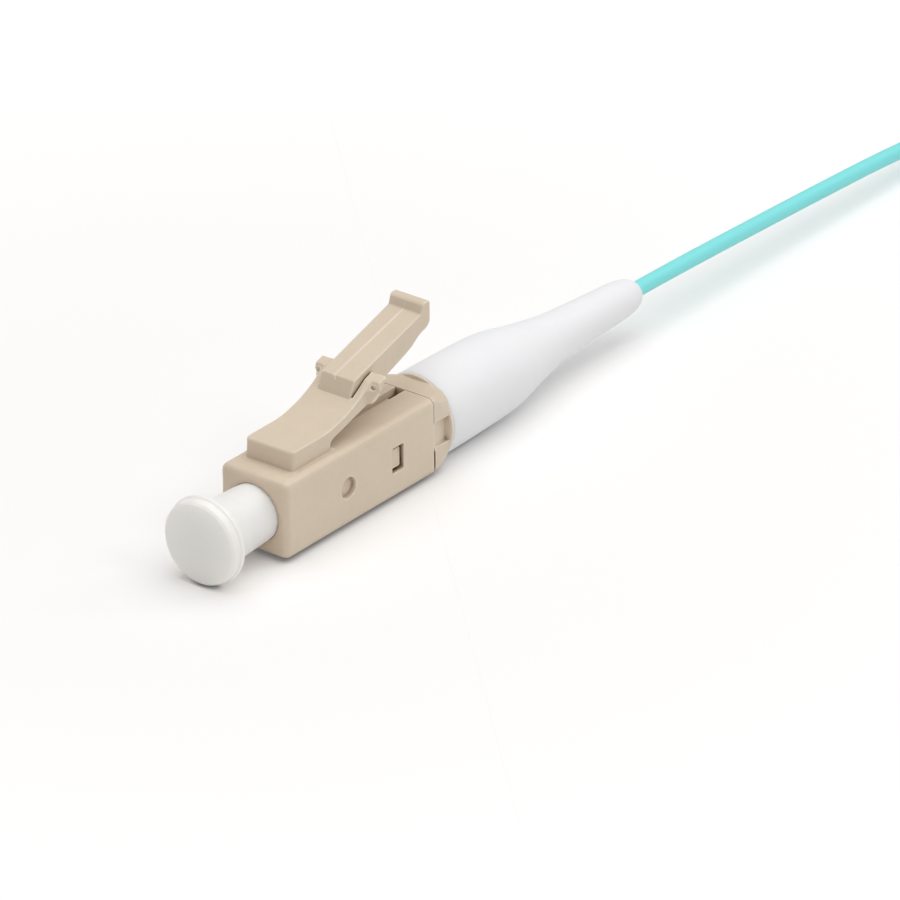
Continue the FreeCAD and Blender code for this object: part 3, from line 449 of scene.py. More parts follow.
def lathe_tree():
    """Turns the half profile of its geometry (x along the axis, z outwards) round the X axis."""
    tree, given, result = new_geometry_tree("Lathe", [
        ("Rows", "NodeSocketInt", 10), ("Segments", "NodeSocketInt", 96),
        ("Droop", "NodeSocketFloat", 0.0), ("Droop Start", "NodeSocketFloat", 0.0),
        ("Droop End", "NodeSocketFloat", 1.0)])
    ring = node(tree, "ShaderNodeMath", {0: given.outputs["Segments"], 1: 1.0}, operation="ADD")
    grid = node(tree, "GeometryNodeMeshGrid", {
        "Size X": 1.0, "Size Y": 1.0,
        "Vertices X": given.outputs["Rows"], "Vertices Y": ring.outputs[0]})
    index = node(tree, "GeometryNodeInputIndex")
    row = node(tree, "ShaderNodeMath", {0: index.outputs[0], 1: ring.outputs[0]},
               operation="DIVIDE")
    row = node(tree, "ShaderNodeMath", {0: row.outputs[0]}, operation="FLOOR")
    step = node(tree, "ShaderNodeMath", {0: index.outputs[0], 1: ring.outputs[0]},
                operation="MODULO")
    step = node(tree, "ShaderNodeMath", {0: step.outputs[0], 1: given.outputs["Segments"]},
                operation="DIVIDE")
    angle = node(tree, "ShaderNodeMath", {0: step.outputs[0], 1: 2 * math.pi}, operation="MULTIPLY")
    place = node(tree, "GeometryNodeInputPosition")
    point = node(tree, "GeometryNodeSampleIndex", {
        "Geometry": given.outputs["Geometry"], "Value": place.outputs[0],
        "Index": row.outputs[0]}, data_type="FLOAT_VECTOR", domain="POINT")
    parts = node(tree, "ShaderNodeSeparateXYZ", {0: point.outputs["Value"]})
    cosine = node(tree, "ShaderNodeMath", {0: angle.outputs[0]}, operation="COSINE")
    sine = node(tree, "ShaderNodeMath", {0: angle.outputs[0]}, operation="SINE")
    across = node(tree, "ShaderNodeMath", {0: parts.outputs["Z"], 1: cosine.outputs[0]},
                  operation="MULTIPLY")
    up = node(tree, "ShaderNodeMath", {0: parts.outputs["Z"], 1: sine.outputs[0]},
              operation="MULTIPLY")
    share = node(tree, "ShaderNodeMapRange", {
        "Value": parts.outputs["X"], "From Min": given.outputs["Droop Start"],
        "From Max": given.outputs["Droop End"]})
    bend = node(tree, "ShaderNodeMath", {0: share.outputs[0], 1: 2.0}, operation="POWER")
    sink = node(tree, "ShaderNodeMath", {0: bend.outputs[0], 1: given.outputs["Droop"]},
                operation="MULTIPLY")
    height = node(tree, "ShaderNodeMath", {0: up.outputs[0], 1: sink.outputs[0]},
                  operation="SUBTRACT")
    spot = node(tree, "ShaderNodeCombineXYZ", {
        "X": parts.outputs["X"], "Y": across.outputs[0], "Z": height.outputs[0]})
    shaped = node(tree, "GeometryNodeSetPosition", {
        "Geometry": grid.outputs["Mesh"], "Position": spot.outputs[0]})
    welded = node(tree, "GeometryNodeMergeByDistance", {
        "Geometry": shaped.outputs[0], "Distance": 0.0005})
    real = node(tree, "GeometryNodeRealizeInstances", {0: welded.outputs[0]})
    coated = node(tree, "GeometryNodeSetMaterial", {
        "Geometry": real.outputs[0], "Material": given.outputs["Material"]})
    tree.links.new(coated.outputs[0], result.inputs["Geometry"])
    return tree


def coil_tree():
    """Round wire wound into a coil along X."""
    tree, given, result = new_geometry_tree("Coil", [
        ("Turns", "NodeSocketFloat", 5.0), ("Coil Radius", "NodeSocketFloat", 1.0),
        ("Length", "NodeSocketFloat", 4.0), ("Wire Radius", "NodeSocketFloat", 0.1)])
    spiral = node(tree, "GeometryNodeCurveSpiral", {
        "Resolution": 48, "Rotations": given.outputs["Turns"],
        "Start Radius": given.outputs["Coil Radius"],
        "End Radius": given.outputs["Coil Radius"], "Height": given.outputs["Length"]})
    lying = node(tree, "GeometryNodeTransform", {
        "Geometry": spiral.outputs[0], "Rotation": (0.0, math.pi / 2, 0.0)})
    wire = node(tree, "GeometryNodeCurvePrimitiveCircle", {
        "Resolution": 16, "Radius": given.outputs["Wire Radius"]}, mode="RADIUS")
    swept = node(tree, "GeometryNodeCurveToMesh", {
        "Curve": lying.outputs[0], "Profile Curve": wire.outputs["Curve"], "Fill Caps": True})
    real = node(tree, "GeometryNodeRealizeInstances", {0: swept.outputs[0]})
    coated = node(tree, "GeometryNodeSetMaterial", {
        "Geometry": real.outputs[0], "Material": given.outputs["Material"]})
    tree.links.new(coated.outputs[0], result.inputs["Geometry"])
    return tree


def turned_piece(name, profile, finish, droop=0.0, droop_start=0.0, droop_end=1.0):
    """Piece turned from a closed or open half profile of (x, radius) points."""
    settings = bpy.context.scene.connector.turned
    shape = bmesh.new()
    for along, reach in profile:
        shape.verts.new((along, 0.0, max(reach, 0.0)))
    mesh = bpy.data.meshes.new(name)
    shape.to_mesh(mesh)
    shape.free()
    base = added(name + "_profile", mesh)
    tree = bpy.data.node_groups.get("Lathe") or lathe_tree()
    base = grow(base, tree, {
        "Rows": len(profile), "Segments": settings.segments, "Droop": droop,
        "Droop Start": droop_start, "Droop End": droop_end, "Material": finish})
    shape = bmesh.new()
    shape.from_mesh(base.data)
    bmesh.ops.remove_doubles(shape, verts=shape.verts, dist=1e-4)
    bmesh.ops.recalc_face_normals(shape, faces=shape.faces)
    shape.to_mesh(base.data)
    shape.free()
    return settle(base, name, finish, sharp=50.0)


# ---------------------------------------------------------------- materials
def empty_material(name):
    """Material with only its object coordinates."""
    finish = bpy.data.materials.new(name)
    finish.use_nodes = True
    tree = finish.node_tree
    tree.nodes.clear()
    return finish, tree, node(tree, "ShaderNodeTexCoord").outputs["Object"]


def new_material(name):
    """Material with its object coordinates, shader and output."""
    finish, tree, where = empty_material(name)
    shader = node(tree, "ShaderNodeBsdfPrincipled")
    node(tree, "ShaderNodeOutputMaterial", {"Surface": shader.outputs[0]})
    return finish, tree, where, shader


def grained_material(name, grain, shine, inputs, relief=None, spread=(0.3, 0.7)):
    """Material whose shine, and relief if given, follow a fine grain.

    grain is its size in millimetres, detail and roughness; shine is the lowest and highest
    roughness of the surface; relief is the strength and depth in millimetres.
    """
    finish, tree, where, shader = new_material(name)
    size, detail, rough = grain
    fine = node(tree, "ShaderNodeTexNoise", {
        "Vector": where, "Scale": 1.0 / (size * MM), "Detail": detail, "Roughness": rough})
    sheen = node(tree, "ShaderNodeMapRange", {
        "Value": fine.outputs[0], "From Min": spread[0], "From Max": spread[1],
        "To Min": shine[0], "To Max": shine[1]})
    feed(tree, shader, {"Roughness": sheen.outputs[0], **inputs})
    if relief:
        strength, depth = relief
        bumps = node(tree, "ShaderNodeBump", {
            "Strength": strength, "Distance": depth * MM, "Height": fine.outputs[0]})
        feed(tree, shader, {"Normal": bumps.outputs[0]})
    return finish


def moulded_polyetherimide():
    """Beige engineering resin, moulded in a spark-eroded tool.

    The tool leaves a very fine matt grain, and the filled resin shows faint cloudy
    mottling, so the surface looks dry and even with broad soft highlights.
    """
    colours = bpy.context.scene.connector.finish
    finish, tree, where, shader = new_material("moulded_polyetherimide")
    # grains of 0.05 mm would be too fine to show, so the drawn ones are 0.09 mm
    grain = node(tree, "ShaderNodeTexNoise", {
        "Vector": where, "Scale": 1.0 / (0.09 * MM), "Detail": 4.0, "Roughness": 0.6})
    cloud = node(tree, "ShaderNodeTexNoise", {
        "Vector": where, "Scale": 1.0 / (0.45 * MM), "Detail": 5.0, "Roughness": 0.65})
    drift = node(tree, "ShaderNodeTexNoise", {
        "Vector": where, "Scale": 1.0 / (4.0 * MM), "Detail": 2.0, "Roughness": 0.5})
    both = node(tree, "ShaderNodeMath", {0: cloud.outputs[0], 1: drift.outputs[0]}, operation="ADD")
    share = node(tree, "ShaderNodeMapRange", {
        "Value": both.outputs[0], "From Min": 0.6, "From Max": 1.4})
    tone = node(tree, "ShaderNodeMix", {
        "Factor": share.outputs[0], 6: tuple(colours.housing), 7: tuple(colours.housing_dark)},
        data_type="RGBA")
    # painted shade: the resin's colour is darkened towards dark brown in slots, corners and gaps,
    # and where other parts or the floor come near
    painted_shade_occlusion = node(tree, "ShaderNodeAmbientOcclusion", {"Distance": 0.6 * MM}, samples=8)
    depth = node(tree, "ShaderNodeMapRange", {
        "Value": painted_shade_occlusion.outputs["AO"], "From Min": 0.15, "From Max": 0.68})
    tone = node(tree, "ShaderNodeMix", {
        "Factor": depth.outputs[0], 6: linear("#664A24"), 7: tone.outputs[2]}, data_type="RGBA")
    # painted highlight: the resin's colour is made paler, towards cream, along small edges and rims
    painted_highlight_occlusion = node(tree, "ShaderNodeAmbientOcclusion", {"Distance": 0.17 * MM}, samples=8,
                     inside=True)
    thin = node(tree, "ShaderNodeMapRange", {
        "Value": painted_highlight_occlusion.outputs["AO"], "From Min": 0.45, "From Max": 0.85,
        "To Min": 0.85, "To Max": 0.0})
    tone = node(tree, "ShaderNodeMix", {
        "Factor": thin.outputs[0], 6: tone.outputs[2], 7: linear("#F6EADB")}, data_type="RGBA")
    matt = node(tree, "ShaderNodeMapRange", {
        "Value": grain.outputs[0], "From Min": 0.3, "From Max": 0.7,
        "To Min": 0.2, "To Max": 0.28})
    relief = node(tree, "ShaderNodeBump", {
        "Strength": 0.35, "Distance": 0.012 * MM, "Height": grain.outputs[0]})
    feed(tree, shader, {
        "Base Color": tone.outputs[2], "Roughness": matt.outputs[0], "Normal": relief.outputs[0],
        "IOR": 1.5, "Specular IOR Level": 0.32, "Subsurface Weight": 0.05,
        "Subsurface Radius": (1.0, 0.75, 0.5), "Subsurface Scale": 0.12 * MM})
    return finish


def natural_polyethylene():
    """Natural white polyethylene: waxy and slightly see-through.

    Light enters and scatters, so edges glow a little and highlights stay soft.
    """
    colours = bpy.context.scene.connector.finish
    finish, tree, where, shader = new_material("natural_polyethylene")
    flow = node(tree, "ShaderNodeTexNoise", {
        "Vector": where, "Scale": 1.0 / (0.7 * MM), "Detail": 3.0, "Roughness": 0.5})
    fine = node(tree, "ShaderNodeTexNoise", {
        "Vector": where, "Scale": 1.0 / (0.12 * MM), "Detail": 3.0, "Roughness": 0.6})
    matt = node(tree, "ShaderNodeMapRange", {
        "Value": flow.outputs[0], "From Min": 0.3, "From Max": 0.7,
        "To Min": 0.36, "To Max": 0.46})
    relief = node(tree, "ShaderNodeBump", {
        "Strength": 0.2, "Distance": 0.01 * MM, "Height": fine.outputs[0]})
    feed(tree, shader, {
        "Roughness": matt.outputs[0], "Normal": relief.outputs[0],
        "Base Color": tuple(colours.cap), "IOR": 1.51, "Subsurface Weight": 0.8,
        "Subsurface Radius": (1.0, 0.93, 0.88), "Subsurface Scale": 0.9 * MM})
    return finish


def thermoplastic_elastomer():
    """Soft white elastomer, moulded matt: no sharp highlight, and soft shading within."""
    colours = bpy.context.scene.connector.finish
    return grained_material("thermoplastic_elastomer", (0.1, 4.0, 0.6), (0.55, 0.68), {
        "Base Color": tuple(colours.boot), "IOR": 1.48, "Subsurface Weight": 0.5,
        "Subsurface Radius": (1.0, 0.95, 0.9), "Subsurface Scale": 0.8 * MM},
        relief=(0.25, 0.01))


def extruded_buffer():
    """Tight aqua buffer, extruded smooth: satin, its shine very slightly uneven."""
    colours = bpy.context.scene.connector.finish
    return grained_material("extruded_buffer", (0.15, 3.0, 0.6), (0.38, 0.5), {
        "Base Color": tuple(colours.fibre), "IOR": 1.5, "Subsurface Weight": 0.25,
        "Subsurface Radius": (0.6, 1.0, 1.0), "Subsurface Scale": 0.2 * MM},
        relief=(0.15, 0.008))


def lapped_zirconia():
    """White zirconia, ground and lapped to a bright polish."""
    return grained_material("lapped_zirconia", (0.3, 3.0, 0.5), (0.1, 0.18), {
        "Base Color": linear("#F1EEE6"), "IOR": 2.1, "Subsurface Weight": 0.2,
        "Subsurface Scale": 0.2 * MM})


def turned_nickel_silver():
    """Nickel silver, turned on a lathe: pale warm metal with fine rings round its axis."""
    finish, tree, where, shader = new_material("turned_nickel_silver")
    rings = node(tree, "ShaderNodeTexWave", {
        "Vector": where, "Scale": 1.0 / (0.5 * MM), "Distortion": 0.6, "Detail": 2.0},
        wave_type="BANDS", bands_direction="X")
    sheen = node(tree, "ShaderNodeMapRange", {
        "Value": rings.outputs[1], "To Min": 0.24, "To Max": 0.36})
    relief = node(tree, "ShaderNodeBump", {
        "Strength": 0.2, "Distance": 0.006 * MM, "Height": rings.outputs[1]})
    feed(tree, shader, {
        "Roughness": sheen.outputs[0], "Normal": relief.outputs[0],
        "Base Color": linear("#CFC8B6"), "Metallic": 1.0})
    return finish


def drawn_stainless():
    """Stainless spring wire, drawn: bright, its shine a little uneven from the die."""
    return grained_material("drawn_stainless", (0.06, 2.0, 0.5), (0.22, 0.34), {
        "Base Color": linear("#C4C5C8"), "Metallic": 1.0})


def bare_silica():
    """Silica fibre, drawn: clear and glassy, too thin to show more than a bright line."""
    return grained_material("bare_silica", (0.1, 2.0, 0.5), (0.02, 0.08), {
        "Base Color": linear("#EAF3F4"), "IOR": 1.46, "Transmission Weight": 0.6},
        spread=(0.0, 1.0))


def extruded_tube_plastic():
    """Natural extruded tube: milky and satin."""
    return grained_material("extruded_tube_plastic", (0.2, 3.0, 0.5), (0.35, 0.55), {
        "Base Color": linear("#ECEBE6"), "Subsurface Weight": 0.3,
        "Subsurface Scale": 0.3 * MM}, spread=(0.0, 1.0))


def woven_nylon_band():
    """Soft white nylon band, woven: fine ribs across a matt surface."""
    finish, tree, where, shader = new_material("woven_nylon_band")
    # threads of 0.1 mm would be too fine to show, so the drawn ribs are 0.3 mm apart
    ribs = node(tree, "ShaderNodeTexWave", {
        "Vector": where, "Scale": 1.0 / (0.95 * MM), "Distortion": 0.3, "Detail": 1.0},
        wave_type="BANDS", bands_direction="X")
    fuzz = node(tree, "ShaderNodeTexNoise", {
        "Vector": where, "Scale": 1.0 / (0.12 * MM), "Detail": 4.0, "Roughness": 0.7})
    height = node(tree, "ShaderNodeMath", {0: ribs.outputs[1], 1: fuzz.outputs[0]}, operation="ADD")
    relief = node(tree, "ShaderNodeBump", {
        "Strength": 0.5, "Distance": 0.03 * MM, "Height": height.outputs[0]})
    tone = node(tree, "ShaderNodeMix", {
        "Factor": fuzz.outputs[0], 6: linear("#E9E8E4"), 7: linear("#D5D4CF")}, data_type="RGBA")
    feed(tree, shader, {
        "Normal": relief.outputs[0], "Base Color": tone.outputs[2], "Roughness": 0.85,
        "Sheen Weight": 0.3})
    return finish


def pale_floor():
    """Pale studio floor: white to the camera, with the object's shadow on it and a painted contact
    shadow where the object comes near.
    """
    colours = bpy.context.scene.connector.finish
    finish, tree, where = empty_material("pale_floor")
    # painted contact shadow: the floor's colour is darkened towards dark brown where the object
    # comes within 0.35 mm
    near = node(tree, "ShaderNodeAmbientOcclusion", {"Distance": 0.35 * MM}, samples=8)
    painted_contact_shadow = node(tree, "ShaderNodeMapRange", {
        "Value": near.outputs["AO"], "From Min": 0.1, "From Max": 0.6, "To Min": 0.4})
    tone = node(tree, "ShaderNodeMix", {
        "Factor": painted_contact_shadow.outputs[0], 6: linear("#2E2620"), 7: tuple(colours.floor)},
        data_type="RGBA")
    matt = node(tree, "ShaderNodeBsdfDiffuse", {"Color": tone.outputs[2]})
    ray = node(tree, "ShaderNodeLightPath")
    seen = node(tree, "ShaderNodeMath", {
        0: ray.outputs["Is Camera Ray"], 1: ray.outputs["Is Glossy Ray"]}, operation="MAXIMUM")
    seen = node(tree, "ShaderNodeMath", {
        0: seen.outputs[0], 1: ray.outputs["Is Transmission Ray"]}, operation="MAXIMUM")
    # the lift grows away from the object, where the lamps reach less
    away = node(tree, "ShaderNodeVectorMath", {0: where, 1: (MIDDLE, 0.0, 0.0)},
                operation="DISTANCE")
    rise = node(tree, "ShaderNodeMapRange", {
        "Value": away.outputs["Value"], "From Min": 15 * MM, "From Max": 110 * MM,
        "To Min": 0.11, "To Max": 0.30}, interpolation_type="SMOOTHSTEP")
    # the painted contact shadow dims the lift as well
    rise = node(tree, "ShaderNodeMath", {0: rise.outputs[0], 1: painted_contact_shadow.outputs[0]},
                operation="MULTIPLY")
    lift = node(tree, "ShaderNodeMath", {0: seen.outputs[0], 1: rise.outputs[0]},
                operation="MULTIPLY")
    glow = node(tree, "ShaderNodeEmission", {"Strength": lift.outputs[0]})
    both = node(tree, "ShaderNodeAddShader", {0: matt.outputs[0], 1: glow.outputs[0]})
    node(tree, "ShaderNodeOutputMaterial", {"Surface": both.outputs[0]})
    return finish


# ---------------------------------------------------------------- operators
class CONNECTOR_OT_stage(bpy.types.Operator):
    """Floor, room light, lamps and camera"""
    bl_idname = "connector.stage"
    bl_label = "Stage"

    def execute(self, context):
        stage = context.scene.connector.stage
        context.scene.view_settings.view_transform = "Standard"
        context.scene.render.film_transparent = False
        turn, tilt, roll = stage.azimuth, stage.elevation, stage.roll
        back = Vector((math.sin(turn) * math.cos(tilt), -math.cos(turn) * math.cos(tilt),
                       math.sin(tilt)))
        level = Vector((math.cos(turn), math.sin(turn), 0.0))
        upright = back.cross(level)
        right = level * math.cos(roll) + upright * math.sin(roll)
        up = upright * math.cos(roll) - level * math.sin(roll)
        camera_data = bpy.data.cameras.new("camera")
        camera_data.lens = stage.lens
        camera_data.sensor_width = 36.0
        camera_data.clip_start, camera_data.clip_end = 0.01, 20.0
        camera = added("camera", camera_data)
        spot = (Vector((FRONT, 0.0, AXIS)) + back * stage.distance
                + right * stage.across + up * stage.upward)
        camera.matrix_world = Matrix.Translation(spot) @ Matrix(
            (right, up, back)).transposed().to_4x4()
        context.scene.camera = camera

        floor_mesh = bpy.data.meshes.new("floor")
        reach = 6.0
        floor_mesh.from_pydata([(-reach, -reach, 0), (reach, -reach, 0), (reach, reach, 0),
                                (-reach, reach, 0)], [], [(0, 1, 2, 3)])
        floor = added("floor", floor_mesh)
        floor.data.materials.append(pale_floor())

        world = bpy.data.worlds.new("room")
        context.scene.world = world
        world.use_nodes = True
        tree = world.node_tree
        tree.nodes.clear()
        ray = node(tree, "ShaderNodeLightPath")
        even = node(tree, "ShaderNodeBackground", {
            "Color": (1.0, 1.0, 1.0, 1.0), "Strength": stage.room})
        white = node(tree, "ShaderNodeBackground", {
            "Color": (1.0, 1.0, 1.0, 1.0), "Strength": 1.0})
        pick = node(tree, "ShaderNodeMixShader", {
            0: ray.outputs["Is Camera Ray"], 1: even.outputs[0], 2: white.outputs[0]})
        node(tree, "ShaderNodeOutputWorld", {"Surface": pick.outputs[0]})

        middle = Vector((MIDDLE, 0.0, AXIS))
        lamps = (
            ("key", Vector((0.025, -0.035, 0.36)), 0.58, stage.key_power),
            ("lever_rim", Vector((0.01, -0.28, 0.25)), 0.10, stage.rim_power),
            ("side_rim", Vector((0.26, -0.17, 0.21)), 0.10, stage.rim_power),
        )
        for name, offset, size, power in lamps:
            lamp_data = bpy.data.lights.new(name, "AREA")
            lamp_data.shape = "DISK"
            lamp_data.size = size
            lamp_data.energy = power
            lamp = added(name, lamp_data)
            lamp.location = middle + offset
            lamp.rotation_mode = "QUATERNION"
            lamp.rotation_quaternion = (-offset).to_track_quat("-Z", "Y")
        return {"FINISHED"}


class CONNECTOR_OT_fibre(bpy.types.Operator):
    """Buffered fibre from the ferrule to its cut end, with its hank"""
    bl_idname = "connector.fibre"
    bl_label = "Fibre and hank"

    def execute(self, context):
        sizes = context.scene.connector.fibre
        pitch = sizes.diameter / MM
        floor = (HANK[0].z - AXIS) / MM
        near = (HANK[0].x - FRONT) / MM
        far = (HANK[1].x - FRONT) / MM
        breadth = (HANK[1].y - HANK[0].y) / MM
        side = (HANK[1].y + HANK[0].y) / 2 / MM
        low = floor + pitch / 2
        # route of the loose stretch, as in the CAD, then the hank's turns
        route = [
            (8.0, 0.0, 0.0), (BOOT_END - 12.5, 0.0, 0.03), (BOOT_END + 1.5, 0.0, -0.06),
            (BOOT_END + 14.5, 0.08, -0.6), (BOOT_END + 24.5, -0.08, -0.93),
            (near - 3.5, 0.0, low), (near + 2.0, 0.0, low)]
        half_run = (far - near - breadth) / 2
        middle = (near + far) / 2
        widest = breadth / 2 - pitch / 2
        turns = []
        for layer in range(sizes.layers):
            order = range(sizes.columns)
            if not layer % 2:
                order = reversed(order)
            inner = widest - (sizes.columns - 1) * pitch
            turns += [(inner + column * pitch, low + layer * pitch) for column in order]
        turns.append(turns[-1])
        # each end of a turn has six corners, 30 degrees apart, a little outside its arc
        angles = [math.radians(15 + 30 * step) for step in range(6)]
        outwards = math.cos(math.radians(15))
        for (radius, height), (later, higher) in zip(turns, turns[1:]):
            for angle in angles:
                reach = radius / outwards
                route.append((middle + half_run + reach * math.sin(angle),
                              side + reach * math.cos(angle), height))
            route.append((middle, side - radius, height))
            for step, angle in enumerate(angles):
                share = step / 5
                reach = (radius + (later - radius) * share) / outwards
                route.append((middle - half_run - reach * math.sin(angle),
                              side - reach * math.cos(angle),
                              height + (higher - height) * share))
            route.append((middle, side + later, higher))
        line = bpy.data.curves.new("buffered_fibre", "CURVE")
        line.dimensions = "3D"
        line.bevel_depth = sizes.diameter / 2
        line.bevel_resolution = 4
        line.resolution_u = 6
        line.use_fill_caps = True
        spline = line.splines.new("NURBS")
        spline.points.add(len(route) - 1)
        for point, spot in zip(spline.points, route):
            point.co = (PLACE @ Vector(spot)).to_4d()
        spline.order_u = 3
        spline.use_endpoint_u = True
        fibre = added("buffered_fibre", line)
        line.materials.append(extruded_buffer())
        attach(fibre, "plug")
        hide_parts("fibre_cord", "cord_hank")
        return {"FINISHED"}


class CONNECTOR_OT_tie(bpy.types.Operator):
    """Soft band round the hank"""
    bl_idname = "connector.tie"
    bl_label = "Hank tie"

    def execute(self, context):
        low, high = [(PLACE.inverted() @ corner) for corner in TIE]
        wall, round_corner = 0.3, 0.75
        outside = prism(rounded_box(low.y, low.z, high.y, high.z, round_corner), low.x, high.x,
                        "tie_outside", "X")
        inside = prism(rounded_box(low.y + wall, low.z + wall, high.y - wall, high.z - wall,
                                   round_corner - wall), low.x - 1, high.x + 1, "tie_inside", "X")
        tie = combine(outside, [inside], "DIFFERENCE")
        near, far, edge = low.y + 2.2, low.y + 6.0, 0.25
        flap = prism(soften([(near, high.z - 0.34, 0.0), (far, high.z - 0.34, 0.0),
                             (far, high.z - 0.01, 0.1), (near, high.z - 0.01, 0.1)]),
                     low.x + edge, high.x - edge, "tie_flap", "X")
        tie = combine(tie, [flap], "UNION")
        tie = round_off(tie, 0.08)
        tie = settle(tie, "hank_band", woven_nylon_band())
        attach(tie, "plug")
        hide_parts("hank_tie")
        return {"FINISHED"}


class CONNECTOR_OT_housing(bpy.types.Operator):
    """Plug housing with its bores, snap windows, top slot and side recess"""
    bl_idname = "connector.housing"
    bl_label = "Plug housing"

    def execute(self, context):
        sizes = context.scene.connector.housing
        long_round, front_round = sizes.long_round / MM, sizes.front_round / MM
        rings = []
        for step in range(8):
            angle = math.pi / 2 * step / 7
            inset = front_round * (1 - math.sin(angle))
            rings.append(square_ring(front_round * (1 - math.cos(angle)), HALF - inset,
                                     long_round - inset))
        rings.append(square_ring(SEAM, HALF, long_round))
        shell = loft(rings, "plug_shell")

        nose = sizes.nose_bore / MM
        seat = rounded_box(-1.7, -1.7, 1.7, 1.7, 0.35)
        slot = sizes.slot_width / MM / 2
        slot_centre = 6.2                       # middle of the slot's round front end
        window = rounded_box(8.93, -0.735, 9.91, 0.735, 0.1, 4)
        slot_plan = [(SEAM + 1, -slot), (SEAM + 1, slot), (slot_centre, slot)]
        slot_plan += [(slot_centre - slot * math.sin(math.pi * step / 10),
                       slot * math.cos(math.pi * step / 10)) for step in range(1, 10)]
        slot_plan += [(slot_centre, -slot)]
        cuts = [
            round_bar((0, 0), nose, -1.0, 2.9, "nose_bore"),
            round_bar((0, 0), 0.95, -1.0, 4.0, "stop_hole"),
            round_bar((0, 0), 1.62, 3.5, 8.4, "spring_room"),
            prism(seat, 8.1, SEAM + 1, "sleeve_seat", "X"),
            prism(window, -4.0, 4.0, "snap_windows", "Y"),
            prism(slot_plan, HALF - 0.4, HALF + 1, "top_slot", "Z"),
            prism([(SEAM - 0.75, -slot), (SEAM + 1, -slot), (SEAM + 1, slot), (SEAM - 0.75, slot)],
                  1.5, HALF + 1, "slot_eye", "Z"),
            round_bar((5.22, -0.01), 0.6, -HALF - 1, -HALF + 0.3, "side_recess", "Y"),
        ]
        shell = combine(shell, cuts, "DIFFERENCE")
        shell = round_off(shell, sizes.rim_round / MM)
        shell = settle(shell, "plug_shell", context.scene.connector_resin, flat=True)
        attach(shell, "plug")
        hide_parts("plug_housing")
        return {"FINISHED"}


